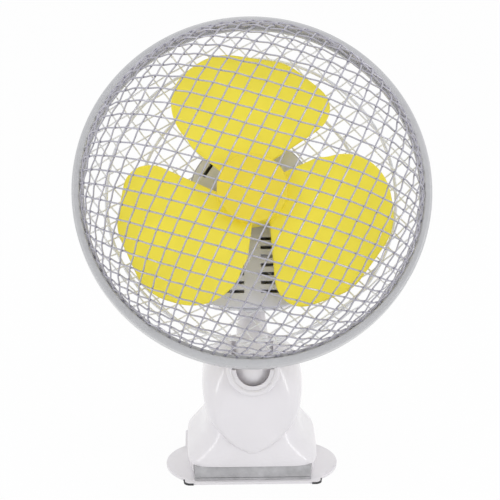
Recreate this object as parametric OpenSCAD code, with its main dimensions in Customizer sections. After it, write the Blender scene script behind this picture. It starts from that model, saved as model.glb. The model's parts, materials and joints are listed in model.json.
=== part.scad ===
// Portable camping fan: a caged three-blade propeller on a tilting, swivelling
// neck that stands on a clip-on battery base.
// Frame: origin at the middle of the foot's underside, +Z up, the fan faces -Y.

/* [Foot] */
// Width of the foot plate at its front edge
foot_w = 77; // [70:1:84]
// Distance from the middle of the foot to its front edge
foot_front = 34.7; // [34:0.1:38]
// Distance from the middle of the foot to its rear edge
foot_rear = 34.7; // [33:0.1:38]
// Thickness of the steel foot plate
foot_t = 1.6; // [1.2:0.1:2.4]
// Distance from the middle to the tip of each side wing
wing_reach = 49.2; // [46:0.2:54]
// Radius of a wing's curved edge
wing_r = 26; // [23:0.5:26]
// Distance of the wings' tips in front of the middle of the foot
wing_front = 8.6; // [5:0.1:8.6]
// Rounding of the foot's corners
foot_corner_r = 3; // [2:0.5:5]
// Thickness of the rubber bumper round a front corner of the foot
bumper_t = 0.6; // [0.4:0.1:1.2]
// Height of the rubber bumpers
bumper_h = 1; // [0.8:0.1:1.6]
// Length of the rubber bumpers along each edge
bumper_len = 8; // [6:0.5:12]

/* [Clamp] */
// Distance of the clamp's pin behind the middle of the foot
clamp_y = 12.7; // [10:0.1:15]
// Height of the clamp's pin
clamp_z = 6.2; // [5.8:0.1:6.6]
// Radius of the clamp's pin
clamp_pin_r = 1.5; // [1.2:0.1:1.8]
// Radius of the rounded hinge lugs
clamp_lug_r = 3.5; // [3:0.1:3.6]
// Distance from the middle to the inner face of the foot's lugs
foot_lug_x = 18; // [14:0.5:22]
// Thickness of a foot lug
foot_lug_t = 1.8; // [1.4:0.1:2.4]
// Thickness of a base lug
base_lug_t = 3; // [2:0.1:4]
// Side gap between a foot lug and a base lug
lug_gap = 0.5; // [0.35:0.05:1]
// Wire diameter of the clamp spring
clamp_wire = 0.9; // [0.7:0.1:1]
// Turns in each half of the clamp spring's coil
clamp_turns = 4; // [3:1:7]
// Length of the clamp spring's legs
clamp_leg = 12; // [8:0.5:14]
// Width of the rubber jaw pads
pad_w = 66; // [50:1:68]
// Depth of the rubber jaw pads
pad_d = 15; // [10:0.5:18]
// Inset of the jaw pads behind the foot's front edge
pad_inset = 2.2; // [1.8:0.2:4]
// Height of the lower jaw pad
pad_h = 1.4; // [1:0.1:2.4]
// Closed gap between the two jaw pads
pad_gap = 0.3; // [0.3:0.05:0.6]

/* [Base] */
// Height of the base's underside
base_z = 10.5; // [10.4:0.1:11.5]
// Half width of the base body at its widest
base_half_w = 37.4; // [36.8:0.1:38]
// Distance from the middle to the base's front at its fullest
base_front = 34.3; // [34:0.1:36]
// Distance from the middle to the base's rear at its fullest
base_rear = 33.7; // [32:0.1:35]
// Height of the base body above its underside
base_h = 41; // [39:0.2:43]
// Wall of the base body and of the cover
base_wall = 2.2; // [1.6:0.1:2.6]
// Thickness of the base's floor
floor_t = 2.4; // [2:0.1:3]
// Gap between the floor's edge and the base's wall
floor_gap = 0.3; // [0.1:0.05:0.5]
// Half width of the egg-shaped cover
cover_half_w = 28.2; // [27.8:0.2:29]
// Height of the lowest tip of the cover above the ground
cover_tip = 19.5; // [19:0.5:21]
// Height of the top of the cover above the ground
cover_top = 81.5; // [80:0.5:85]
// Distance from the middle to the cover's fullest front
cover_front = 37.2; // [37:0.1:38]
// Distance from the middle to the cover's fullest rear
cover_rear = 24.7; // [24:0.1:26]
// Gap between the base's side skirts and the foot plate
skirt_gap = 0.7; // [0.4:0.1:1.2]
// Gap between the base's side skirts and the jaw pads
skirt_pad_gap = 0.4; // [0.3:0.05:0.6]
// Inward lean of the side skirts at their lower edge
skirt_lean = 2; // [1:0.1:2.2]
// Inset of the side skirts where they run into the base's wall
skirt_inset = 0.15; // [0.1:0.05:0.4]
// How far the side skirts run up into the base's wall
skirt_root = 1.1; // [0.8:0.1:1.6]
// Radius of the base's screws
screw_r = 1.5; // [1.2:0.1:1.8]
// Radius of the base's screw heads
screw_head_r = 2.7; // [2.4:0.1:3]
// Distance of the base's screws from the middle, sideways
screw_x = 28; // [27.8:0.1:28.4]
// Distance of the base's front screws in front of the middle
screw_front = 12.5; // [8:0.5:13]
// Distance of the base's rear screws behind the middle
screw_rear = 20; // [18:0.5:21]
// Radius of the base's screw posts
post_r = 3; // [2.6:0.1:3.2]

/* [Battery and switch] */
// Radius of a battery cell
cell_r = 9.1; // [8.5:0.1:9.2]
// Length of a battery cell
cell_len = 45; // [44:0.5:45.5]
// Gap between the two battery cells
cell_gap = 1; // [0.5:0.1:2]
// Wall of the battery cradle
cradle_wall = 1.5; // [1:0.1:2]
// Height of the battery cradle's sides
cradle_h = 9; // [7:0.5:11]
// Distance of the battery cells in front of the middle
cell_front = 0; // [-1:0.5:4]
// Radius of the charging socket's bore
jack_bore_r = 2.75; // [2.5:0.05:3]
// Depth of the charging socket's bore
jack_bore_len = 9; // [8:0.5:10]
// Width of the charging socket's body
jack_w = 9; // [8.5:0.1:10]
// Sideways distance of the charging socket from the middle
jack_x = 14; // [12:0.5:17]
// Height of the charging socket and the switch
panel_z = 21; // [20:0.5:23]
// Width of the rocker switch's frame
switch_w = 19; // [17:0.5:21]
// Height of the rocker switch's frame
switch_h = 11; // [10:0.5:13]
// Sideways distance of the rocker switch from the middle
switch_x = -10; // [-13:0.5:-9]
// Depth of the rocker switch's body inside the base
switch_d = 11; // [9:0.5:13]
// Radius of the rocker's axle
rocker_pin_r = 0.9; // [0.7:0.05:1.1]
// How far the rocker tips between off and on, in degrees
rocker_throw = 14; // [10:1:16]
// Half length of the rocker
rocker_half = 6.1; // [5.4:0.1:6.3]
// Height of the rocker's raised ends above its axle
rocker_face = 3.6; // [3.2:0.1:3.7]
// Depth of the dip in the middle of the rocker's face
rocker_dip = 1; // [0.5:0.1:1.4]

/* [Neck] */
// Distance of the tilt pivot in front of the middle of the foot
pivot_front = 23.3; // [22.5:0.1:23.6]
// Height of the tilt pivot
pivot_z = 66.7; // [66:0.1:68]
// Radius of the ball at the neck's lower end
ball_r = 11.2; // [11.1:0.1:11.4]
// Radius of the tilt pin
tilt_pin_r = 2.2; // [1.8:0.1:2.6]
// Gap round the ball and beside the neck in its slot
ball_gap = 0.4; // [0.35:0.05:0.6]
// Thickness of each cheek of the tilt bracket
cheek_t = 2.2; // [2:0.1:2.4]
// Radius of each cheek of the tilt bracket
cheek_r = 4.3; // [4.2:0.1:4.6]
// Thickness of the friction washers
washer_t = 0.8; // [0.6:0.1:1]
// Radius of the rounded bead round the neck's slot
bead_r = 1.7; // [1.2:0.1:2]
// Height of the middle of the slot's round end above the tilt pivot
slot_rise = 4.3; // [3.5:0.1:5]
// Backward lean of the bead, in degrees
bead_lean = 14; // [8:1:20]
// Length of the bead's straight ends
bead_end = 7; // [4:0.5:9]
// Radius of the neck just above its ball
neck_r1 = 11; // [10.4:0.1:11]
// Radius of the neck at its upper shoulder
neck_r2 = 7.2; // [6.8:0.1:8.4]
// Height of the neck's shoulder above the pivot
neck_len = 33.5; // [31:0.1:35]
// Thickness of the swivel washer
swivel_t = 1; // [0.8:0.1:1.4]
// Side gap and end gap between pieces that move past each other
move_gap = 0.3; // [0.3:0.05:0.6]
// Radius of the swivel spigot
spigot_r = 5.5; // [5:0.1:6]
// Length of the swivel spigot
spigot_len = 20; // [18:0.5:22]
// Radius of the cable bore in the neck
neck_bore_r = 2.4; // [2:0.1:3]
// Lean of the neck behind the vertical, in degrees
head_tilt = 32; // [20:1:40]
// Turn of the head on the neck, in degrees, positive to the right
head_pan = 0; // [-15:1:15]
// How far the head tips down from there, in degrees
tilt_down = 30; // [20:1:31]
// How far the head tips up from there, in degrees
tilt_up = 20; // [15:1:22]

/* [Head] */
// Height of the fan's axis above the tilt pivot, along the neck
axis_h = 91; // [90:0.5:96]
// Distance of the rim's middle plane in front of the neck's axis
rim_w = 46; // [44:0.5:50]
// Outer radius of the rim
rim_r = 97.8; // [95:0.2:100]
// Radial thickness of the rim
rim_t = 4.2; // [3.8:0.1:5]
// Half of the rim's axial width
rim_half = 6; // [5:0.1:7]
// Rounding of the rim's outer edges
rim_round = 2.2; // [1.5:0.1:2.6]
// How far the rim's inner lips reach inwards past its inner face
lip_reach = 2.4; // [2:0.1:3]
// Thickness of the rim's inner lips
lip_t = 1.2; // [1:0.1:1.6]
// Running gap and seating gap of the wire mesh
mesh_gap = 0.1; // [0.05:0.05:0.3]

/* [Guard mesh] */
// Margin at the mesh's edge in which no wire runs
edge_skip = 6; // [4:0.5:8]
// Thickness of a mesh wire
wire_d = 0.9; // [0.7:0.1:1.2]
// Spacing of the front mesh's crossings along the falling wires
pitch_a = 8.4; // [8:0.1:10]
// Spacing of the front mesh's crossings along the rising wires
pitch_b = 8.4; // [8:0.1:10]
// Direction of the falling wires, in degrees
dir_a = -16.4; // [-25:0.2:-5]
// Direction of the rising wires, in degrees
dir_b = 63.2; // [55:0.2:75]
// Sideways place of a crossing near the middle of the mesh
mesh_x = 0.3; // [-4:0.1:4]
// Place of the same crossing above the fan's axis
mesh_y = -6.1; // [-8:0.1:0]
// Turn of the rear mesh against the front mesh, in degrees
rear_turn = -32; // [-45:1:-20]
// Radius of the front guard's flat middle
dome_flat = 36; // [30:0.5:40]
// Height of the straight wall between the rim's lip and the dome's rounding
dome_wall = 0.8; // [0.4:0.1:4]
// Radius of the rear guard's flat back
back_r = 61.5; // [56:0.5:66]
// Radius of the rear guard's corner
corner_r = 79; // [75:0.5:84]
// Depth of the rear guard's corner behind the rim's middle plane
corner_depth = 15; // [13:0.5:17]
// Depth of the rear guard's flat back behind the rim's middle plane
back_depth = 22; // [21:0.5:24]
// Inner radius of the rear guard's hub ring
hub_ring_r = 31; // [29:0.5:32]
// Width of the rear guard's hub ring
hub_ring_w = 4; // [3:0.5:5]
// Wire thickness of the rear guard's two hoops
hoop_d = 1.8; // [1.4:0.1:2.4]

/* [Motor housing] */
// Radius of the round part of the motor's grille plate
plate_r = 34; // [33:0.5:36]
// Distance from the hub ring's rear to the grille plate
plate_ahead = 4.6; // [4.5:0.1:5]
// Thickness of the grille plate
plate_t = 2.2; // [1.8:0.1:2.6]
// Reach of the grille plate below the fan's axis
plate_drop = 62; // [58:0.5:63]
// Half width of the grille plate's lower edge
skirt_half = 31; // [28:0.5:33]
// Half width of the grille plate's waist
waist_half = 26; // [24:0.5:28]
// Radius of the grille plate's curved lower edge
skirt_arc_r = 130; // [110:5:160]
// Half width of the rib between the louvre slots
rib_half = 4.6; // [4:0.1:6]
// Spacing of the louvre slots
slot_pitch = 4.9; // [4.4:0.1:5.2]
// Height of a louvre slot
slot_h = 1.9; // [1.4:0.1:2.2]
// Number of rows of louvre slots
slot_rows = 7; // [5:1:7]
// Depth of the topmost row of slots below the fan's axis
slot_top = 23.5; // [22:0.5:25]
// Length of the curved vents round the motor
vent_len = 10; // [7:0.5:12]
// Radius at which the vents lie
vent_r = 28.5; // [27:0.5:30]
// Radius of the rear motor housing
pod_r = 32; // [31:0.5:33]
// Wall of the rear motor housing
pod_wall = 2; // [1.6:0.1:2.6]
// Reach of the rear motor housing behind the neck's axis
pod_back = 22; // [21:0.5:25]
// Rounding of the rear motor housing's back edge
pod_round = 10; // [7:0.5:12]
// Half width of the housing's stalk
stalk_half = 22; // [20:0.5:24]
// Reach of the housing's stalk behind the neck's axis
stalk_back = 13; // [12:0.5:15]
// Rounding of the stalk's rear corners
stalk_round = 9; // [5:0.5:10]
// Radius of the swivel sleeve inside the stalk
sleeve_r = 8.5; // [8:0.1:9.5]
// Radius of the housing's screws
pod_screw_r = 1.3; // [1.1:0.1:1.5]
// Radius of the housing's screw heads
pod_screw_head_r = 2.5; // [2.2:0.1:2.8]
// Distance of the housing's upper screws from the fan's axis
pod_screw_at = 24.5; // [23:0.5:25]

/* [Motor] */
// Radius of the motor's can
can_r = 13.8; // [12.5:0.1:15]
// Length of the motor's can
can_len = 32; // [28:0.5:34]
// Wall of the motor's can
can_wall = 1; // [0.8:0.1:1.4]
// Radius of the motor shaft
shaft_r = 1.2; // [1:0.05:1.5]
// Thickness of the motor's magnets
magnet_t = 2.2; // [1.6:0.1:2.4]
// Width of a carbon brush
brush_w = 3; // [2:0.1:3.2]
// Thickness of a brush's spring arm
brush_arm_t = 1; // [0.6:0.1:1.2]
// Gap between a brush and the commutator
brush_gap = 0.3; // [0.3:0.05:0.5]
// Thickness of the motor's end cap
end_cap_t = 3; // [2:0.1:3.4]
// Outer radius of the motor's bearings
bearing_r = 3.5; // [3:0.1:3.8]
// Air gap between the armature and the magnets
air_gap = 0.6; // [0.4:0.05:0.8]
// Length of the armature's core
core_len = 14; // [12:0.5:15]
// Radius of the commutator
comm_r = 3.2; // [2.8:0.1:3.6]
// Length of the commutator
comm_len = 4.4; // [4:0.1:4.6]
// Running clearance of the shafts and pins in their bores, in radius
run_gap = 0.05; // [0.02:0.01:0.09]

/* [Propeller] */
// Radius of the propeller's hub
hub_r = 19.3; // [18:0.1:21]
// Reach of the hub in front of the propeller's plane
hub_front = 4; // [3:0.5:6]
// Reach of the hub behind the propeller's plane
hub_back = 10; // [9:0.5:10.5]
// Wall of the propeller's hub
hub_wall = 2; // [1.6:0.1:2.6]
// Radius of the boss inside the hub that grips the shaft
hub_boss_r = 4; // [3:0.1:5]
// Distance of the propeller's plane in front of the rim's middle plane
prop_ahead = 2.5; // [0:0.1:4]
// Thickness of a blade
blade_t = 1.6; // [1.2:0.1:2]
// Radius of a blade's camber
blade_camber = 200; // [180:5:240]
// Pitch of a blade at its middle, in degrees
blade_pitch = 10; // [6:0.5:12]
// Setback of a blade's middle behind the propeller's plane
blade_set = 5.4; // [4.6:0.2:6]
// Reach of a blade's tip from the fan's axis
blade_tip = 78.4; // [75:0.1:79]
// Rounding of a blade's tip
tip_r = 28.2; // [26:0.2:30]
// Turn of the blades round the shaft, in degrees
blade_turn = -25; // [-60:1:60]
// Number of blades
blades = 3; // [3:1:3]

/* [Hidden] */
$fn = 64;
eps = 0.01;

// Colours
white_plastic = [0.92, 0.91, 0.92];
grey_plastic = [0.62, 0.62, 0.64];
yellow_plastic = [0.96, 0.88, 0.25];
rubber = [0.08, 0.08, 0.09];
pad_rubber = [0.55, 0.54, 0.55];
steel = [0.72, 0.73, 0.75];
copper = [0.72, 0.42, 0.22];
wire_coat = [0.88, 0.88, 0.89];

// Heights that several pieces share
pivot_y = -pivot_front;
pad_y = -foot_front + pad_inset;
base_lug_x = foot_lug_x + foot_lug_t + lug_gap;
pin_half = base_lug_x + base_lug_t + 0.6;
floor_top = base_z + floor_t;
body_top = base_z + base_h;
cell_z = floor_top + cradle_wall + cell_r;
slot_half = ball_r + ball_gap;
screw_len = 9;
rocker_in = 2.4;
cheek_in = ball_r + move_gap + washer_t;
prop_z = rim_w + prop_ahead;
rim_in = rim_r - rim_t;
mesh_off = wire_d / 2 + 0.02;
mesh_r = rim_in - wire_d - mesh_gap;
dome_r = mesh_r - dome_flat;
dome_top = lip_t + mesh_gap + wire_d / 2 + dome_wall + dome_r;
clamp_z_front = rim_w - back_depth - mesh_off - wire_d / 2;
plate_z = clamp_z_front + plate_ahead;
can_front = clamp_z_front - 3;
can_back = can_front - can_len;
magnet_r = can_r - can_wall;
core_r = magnet_r - magnet_t - air_gap;
core_z = can_front - can_len / 2 + 2;
comm_z = can_back + 6.5;
ring_steps = 48;

// Places a piece that is drawn upright about the pivot onto the leaning neck
module on_neck() translate([0, pivot_y, pivot_z]) rotate([-head_tilt, 0, 0]) children();
// The same, turned with the head
module on_head() on_neck() rotate([0, 0, head_pan]) children();
// Places a piece that is drawn along the fan's axis: X right, Y up, Z forwards
module on_axis() on_head() translate([0, 0, axis_h]) rotate([90, 0, 0]) children();
// Mirrors a piece to the other side as well
module both_sides() {
    children();
    mirror([1, 0, 0]) children();
}
// A cylinder along X, centred
module bar_x(r, length) rotate([0, 90, 0]) cylinder(r = r, h = length, center = true);
// A ring with a rectangular section
module ring(r_in, r_out, h) difference() {
    cylinder(r = r_out, h = h);
    translate([0, 0, -1]) cylinder(r = r_in, h = h + 2);
}

// One slice of a rounded body: height, half width, front, rear, squareness
function power(v, p) = sign(v) * pow(abs(v), p);
function slice(s) = [
    for (k = [0:ring_steps - 1])
        let (a = 360 * k / ring_steps)
        [
            s[1] * power(cos(a), 2 / s[4]),
            (s[3] - s[2]) / 2 + (s[3] + s[2]) / 2 * power(sin(a), 2 / s[4]),
            s[0]
        ]
];
// Joins the slices into one closed solid
module loft(slices) {
    n = ring_steps;
    last = len(slices) - 1;
    sides = [
        for (j = [0:last - 1], k = [0:n - 1])
            let (a = j * n + k, b = j * n + (k + 1) % n)
            each [[a, a + n, b], [b, a + n, b + n]]
    ];
    floor_face = [[for (k = [0:n - 1]) k]];
    top_face = [[for (k = [n - 1:-1:0]) last * n + k]];
    polyhedron(points = [for (s = slices) each slice(s)], faces = concat(floor_face, sides, top_face));
}

// Slices of the base body: share of its height, then insets from its fullest size
base_shape = [
    [0.000, 0.8, 0.9, 2.0, 6.5],
    [0.050, 0.4, 0.4, 0.8, 5.8],
    [0.110, 1.8, 0.1, 0.2, 5.2],
    [0.180, 4.0, 0.0, 0.0, 4.6],
    [0.330, 8.2, 0.2, 0.3, 3.8],
    [0.475, 10.2, 1.0, 3.0, 3.4],
    [0.560, 11.1, 1.9, 5.0, 3.2],
    [0.645, 12.0, 3.0, 7.5, 2.9],
    [0.745, 13.6, 5.0, 11.0, 2.6],
    [0.865, 16.2, 8.5, 15.5, 2.4],
    [0.950, 20.4, 13.0, 20.5, 2.3],
    [1.000, 25.0, 17.0, 27.0, 2.2]
];
// Slices of the cover: share of its height, then insets from its fullest size
cover_shape = [
    [0.000, 24.5, 2.4, 0.0, 7.0],
    [0.027, 21.7, 1.9, 0.0, 7.0],
    [0.048, 18.7, 1.6, 0.0, 7.0],
    [0.095, 14.0, 1.2, 0.0, 7.0],
    [0.169, 9.6, 0.8, 0.0, 7.0],
    [0.234, 6.2, 0.5, 0.0, 6.7],
    [0.298, 3.4, 0.3, 0.0, 6.3],
    [0.363, 1.7, 0.1, 0.0, 5.5],
    [0.424, 0.8, 0.0, 0.2, 4.9],
    [0.494, 0.2, 0.1, 1.3, 4.2],
    [0.553, 0.0, 0.3, 2.3, 3.7],
    [0.644, 0.4, 0.8, 4.6, 3.3],
    [0.761, 2.4, 2.7, 9.5, 2.8],
    [0.861, 6.0, 6.2, 15.2, 2.6],
    [0.940, 11.4, 11.4, 21.3, 2.4],
    [0.985, 17.5, 17.5, 27.0, 2.3],
    [1.000, 23.2, 23.0, 31.0, 2.2]
];
function body_slices(wall, low) = [
    for (k = [0:len(base_shape) - 1])
        let (s = base_shape[k], z = base_z + base_h * s[0])
        [
            k == 0 ? z - low : max(z - wall * s[0], base_z),
            base_half_w - s[1] - wall, base_front - s[2] - wall, base_rear - s[3] - wall, s[4]
        ]
];
function cover_slices(wall) = [
    for (s = cover_shape)
        let (z = cover_tip + (cover_top - cover_tip) * s[0])
        [
            z - wall * (s[0] - 0.5) * 2,
            cover_half_w - s[1] - wall, cover_front - s[2] - wall, cover_rear - s[3] - wall, s[4]
        ]
];

// Points of an arc round c, between two directions in degrees
function arc(c, r, from, to, steps) = [
    for (k = [0:steps]) let (a = from + (to - from) * k / steps) c + r * [cos(a), sin(a)]
];

// Foot: the lower jaw of the clamp

module foot_outline() {
    both_sides() translate([wing_reach - wing_r, -wing_front]) circle(wing_r, $fn = 96);
    hull() for (x = [-1, 1], y = [-foot_front + foot_corner_r, foot_rear - foot_corner_r])
        translate([x * (foot_w / 2 - foot_corner_r), y]) circle(foot_corner_r, $fn = 24);
}

module foot_lug(x, t) translate([x + t / 2, clamp_y, clamp_z]) {
    difference() {
        union() {
            bar_x(clamp_lug_r, t);
            translate([-t / 2, -clamp_lug_r, -clamp_z + eps]) cube([t, 2 * clamp_lug_r, clamp_z - eps]);
        }
        bar_x(clamp_pin_r, t + 1);
    }
}

module foot_plate() color(white_plastic) {
    linear_extrude(foot_t) foot_outline();
    both_sides() foot_lug(foot_lug_x, foot_lug_t);
}

module foot_bumpers() color(rubber) linear_extrude(bumper_h) intersection() {
    difference() {
        offset(r = bumper_t, $fn = 24) foot_outline();
        offset(delta = eps) foot_outline();
    }
    for (x = [-1, 1])
        translate([x * foot_w / 2, -foot_front]) square(2 * bumper_len - 6, center = true);
}

module lower_jaw_pad() color(pad_rubber)
    translate([-pad_w / 2, pad_y, foot_t]) cube([pad_w, pad_d, pad_h]);

module clamp_pin() color(steel) translate([0, clamp_y, clamp_z]) {
    bar_x(clamp_pin_r, 2 * pin_half);
    both_sides() translate([pin_half + 0.5, 0, 0]) bar_x(clamp_pin_r + 0.8, 1);
}

// Joins rings of points into one closed tube
module tube(rings) {
    n = len(rings);
    m = len(rings[0]);
    polyhedron(
        points = [for (r = rings) each r],
        faces = concat(
            [[for (c = [m - 1:-1:0]) c]],
            [
                for (k = [0:n - 2], c = [0:m - 1])
                    let (a = m * k + c, b = m * k + (c + 1) % m)
                    each [[a, b, b + m], [a, b + m, a + m]]
            ],
            [[for (c = [0:m - 1]) m * (n - 1) + c]]
        )
    );
}
// A ring of points round p, across the direction way, whose first point lies towards up
function ring_points(p, way, up, r, sides) =
    let (across = cross(way / norm(way), up), u = across / norm(across), v = cross(u, way / norm(way)))
    [for (c = [0:sides - 1]) p + r * (sin(360 * c / sides) * u - cos(360 * c / sides) * v)];

// A torsion spring round the pin, whose legs push the rear ends of the two jaws apart
module clamp_spring() color(steel) translate([0, clamp_y, clamp_z]) {
    coil_r = clamp_pin_r + 0.3 + clamp_wire / 2;
    step = 1.15 * clamp_wire / 360;
    half = (clamp_turns + 0.25) * 360 * step;
    leg_drop = foot_t + clamp_wire / 2 + 0.1 - clamp_z;
    leg_rise = base_z - clamp_wire / 2 - 0.1 - clamp_z;
    turn = [for (a = [0:36:(2 * clamp_turns + 0.5) * 360]) a];
    path = concat(
        [[-half, clamp_leg, leg_drop]],
        [for (a = turn) [-half + a * step, coil_r * cos(-90 - a), coil_r * sin(-90 - a)]],
        [[half, clamp_leg, leg_rise]]
    );
    last = len(path) - 1;
    tube([
        for (k = [0:last])
            ring_points(path[k], path[min(k + 1, last)] - path[max(k - 1, 0)], [1, 0, 0], clamp_wire / 2, 6)
    ]);
}

// Base: the upper jaw, with the battery inside

module panel_cut(x, w, h) translate([x - w / 2, base_rear - 12, panel_z - h / 2]) cube([w, 20, h]);

// The skirts that close the clamp's throat at both ends, in front of the clamp's pin
module side_skirts() {
    low = foot_t + skirt_gap;
    high = base_z + skirt_root;
    foot_row = base_shape[0];
    intersection() {
        loft([
            for (row = [[low, skirt_lean], [high, skirt_inset]])
                [
                    row[0], base_half_w - foot_row[1] - row[1], base_front - foot_row[2] - row[1],
                    base_rear, foot_row[4]
                ]
        ]);
        both_sides() translate([pad_w / 2 + skirt_pad_gap, -base_front - 1, low - 1])
            cube([base_half_w, base_front + clamp_y - clamp_lug_r - 1, high - low + 2]);
    }
}

module base_body() color(white_plastic) difference() {
    union() {
        difference() {
            union() {
                side_skirts();
                loft(body_slices(0, 0));
            }
            loft(body_slices(base_wall, 1));
        }
        intersection() {
            loft(body_slices(base_wall / 2, 0));
            floor_screw_places() translate([0, 0, floor_top]) cylinder(r = post_r, h = base_h);
        }
    }
    panel_cut(switch_x, switch_w - 2, switch_h - 2);
    panel_cut(jack_x, jack_w, jack_w);
    floor_screw_places() translate([0, 0, floor_top - 1]) cylinder(r = screw_r, h = screw_len);
}

// The room that the neck sweeps through, as seen from the side, drawn through X
module neck_sweep() translate([0, pivot_y, pivot_z]) {
    lowest = head_tilt - tilt_down - 2;
    highest = head_tilt + tilt_up + 2;
    reach = 40;
    sphere(slot_half);
    for (a = [lowest, highest])
        rotate([-a, 0, 0]) translate([-slot_half, -slot_half, 0]) cube([2 * slot_half, 2 * slot_half, reach]);
    rotate([90, 0, 90]) linear_extrude(2 * slot_half, center = true)
        polygon(concat([[0, 0]], [
            for (k = [0:6])
                let (a = 90 - lowest - (highest - lowest) * k / 6) reach * [cos(a), sin(a)]
        ]));
}
// The open end of the neck's slot in the front of the cover
module slot_mouth() translate([0, pivot_y, pivot_z + slot_rise]) {
    rotate([90, 0, 0]) cylinder(r = slot_half, h = 30);
    translate([-slot_half, -30, 0]) cube([2 * slot_half, 30, 30]);
}

module base_cover() color(white_plastic) difference() {
    loft(cover_slices(0));
    loft(cover_slices(base_wall));
    loft(body_slices(0, 0));
    neck_sweep();
    slot_mouth();
}

module floor_screw_places() for (x = [-1, 1], y = [-screw_front, screw_rear])
    translate([x * screw_x, y, 0]) children();

module base_floor() color(white_plastic) {
    difference() {
        union() {
            translate([0, 0, base_z]) linear_extrude(floor_t) polygon([
                for (p = slice([
                    0, base_half_w - base_shape[0][1] - base_wall - floor_gap,
                    base_front - base_shape[0][2] - base_wall - floor_gap,
                    base_rear - base_shape[0][3] - base_wall - floor_gap, base_shape[0][4]
                ])) [p[0], p[1]]
            ]);
            both_sides() translate([base_lug_x + base_lug_t / 2, clamp_y, clamp_z]) {
                bar_x(clamp_lug_r, base_lug_t);
                translate([-base_lug_t / 2, -clamp_lug_r, 0])
                    cube([base_lug_t, 2 * clamp_lug_r, base_z - clamp_z + eps]);
            }
        }
        translate([0, clamp_y, clamp_z]) bar_x(clamp_pin_r + run_gap, 4 * pin_half);
        floor_screw_places() {
            translate([0, 0, base_z - 1]) cylinder(r = screw_r + 0.1, h = floor_t + 2);
            translate([0, 0, base_z - eps])
                cylinder(r1 = screw_head_r + 0.1, r2 = screw_r + 0.1, h = screw_head_r - screw_r);
        }
    }
}

module upper_jaw_pad() color(pad_rubber)
    translate([-pad_w / 2, pad_y, foot_t + pad_h + pad_gap])
        cube([pad_w, pad_d, base_z - foot_t - pad_h - pad_gap]);

module base_screws() color(steel) floor_screw_places() translate([0, 0, base_z]) {
    cylinder(r1 = screw_head_r, r2 = screw_r, h = screw_head_r - screw_r);
    cylinder(r = screw_r, h = floor_t + screw_len - 3);
}

module battery_cradle() color(grey_plastic) difference() {
    translate([-cell_len / 2 - eps, -cell_front - 2 * cell_r - cell_gap / 2 - cradle_wall, floor_top])
        cube([cell_len, 4 * cell_r + cell_gap + 2 * cradle_wall, cradle_h]);
    for (y = [-1, 1]) translate([0, -cell_front + y * (cell_r + cell_gap / 2), cell_z])
        bar_x(cell_r + 0.05, cell_len + 10);
}

module battery_cells() color([0.2, 0.4, 0.7])
    for (y = [-1, 1]) translate([0, -cell_front + y * (cell_r + cell_gap / 2), cell_z])
        bar_x(cell_r, cell_len);

module charging_socket() color(rubber) difference() {
    translate([jack_x - jack_w / 2 + 0.1, base_rear - jack_bore_len - 3, panel_z - jack_w / 2 + 0.1])
        cube([jack_w - 0.2, jack_bore_len + 3 - 0.3, jack_w - 0.2]);
    translate([jack_x, base_rear + 1, panel_z]) rotate([90, 0, 0])
        cylinder(r = jack_bore_r, h = jack_bore_len + 1.3);
}

module switch_frame() color(rubber) difference() {
    union() {
        translate([switch_x - switch_w / 2, base_rear, panel_z - switch_h / 2])
            cube([switch_w, 1.2, switch_h]);
        translate([switch_x - switch_w / 2 + 1.2, base_rear - switch_d, panel_z - switch_h / 2 + 1.2])
            cube([switch_w - 2.4, switch_d + eps, switch_h - 2.4]);
    }
    translate([switch_x - switch_w / 2 + 2.2, base_rear - switch_d + 1.5, panel_z - switch_h / 2 + 2.2])
        cube([switch_w - 4.4, switch_d + 1, switch_h - 4.4]);
    translate([switch_x, base_rear - rocker_in, panel_z - switch_h])
        cylinder(r = rocker_pin_r + run_gap, h = 2 * switch_h);
}

module switch_rocker() color([0.15, 0.15, 0.16])
    translate([switch_x, base_rear - rocker_in, panel_z]) rotate([0, 0, -rocker_throw / 2]) {
        linear_extrude(switch_h - 5, center = true) polygon([
            [-rocker_half, -0.8], [0, -2], [rocker_half, -0.8],
            [rocker_half, rocker_face], [0, rocker_face - rocker_dip], [-rocker_half, rocker_face]
        ]);
        cylinder(r = rocker_pin_r, h = switch_h - 2.6, center = true);
    }

module tilt_bracket() color(grey_plastic) difference() {
    union() {
        both_sides() translate([cheek_in, 0, 0]) {
            translate([cheek_t / 2, pivot_y, pivot_z]) bar_x(cheek_r, cheek_t);
            translate([0, pivot_y - cheek_r, body_top])
                cube([cheek_t, 2 * cheek_r, pivot_z - body_top]);
        }
        translate([-cheek_in - cheek_t, pivot_y - cheek_r, body_top])
            cube([2 * (cheek_in + cheek_t), 2 * cheek_r, 2.4]);
        translate([-11, pivot_y, body_top]) cube([22, 26, 2.4]);
    }
    translate([0, pivot_y, pivot_z]) bar_x(tilt_pin_r, 60);
    translate([0, pivot_y, pivot_z]) sphere(ball_r + ball_gap);
}

module tilt_pin() color(steel) translate([0, pivot_y, pivot_z]) {
    bar_x(tilt_pin_r, 2 * (cheek_in + cheek_t));
    both_sides() translate([cheek_in + cheek_t + 0.6, 0, 0]) bar_x(tilt_pin_r + 1.3, 1.2);
}

module friction_washers() color(rubber) both_sides()
    translate([cheek_in - washer_t, pivot_y, pivot_z]) rotate([0, 90, 0])
        ring(tilt_pin_r + 0.1, tilt_pin_r + 2.6, washer_t);

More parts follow.
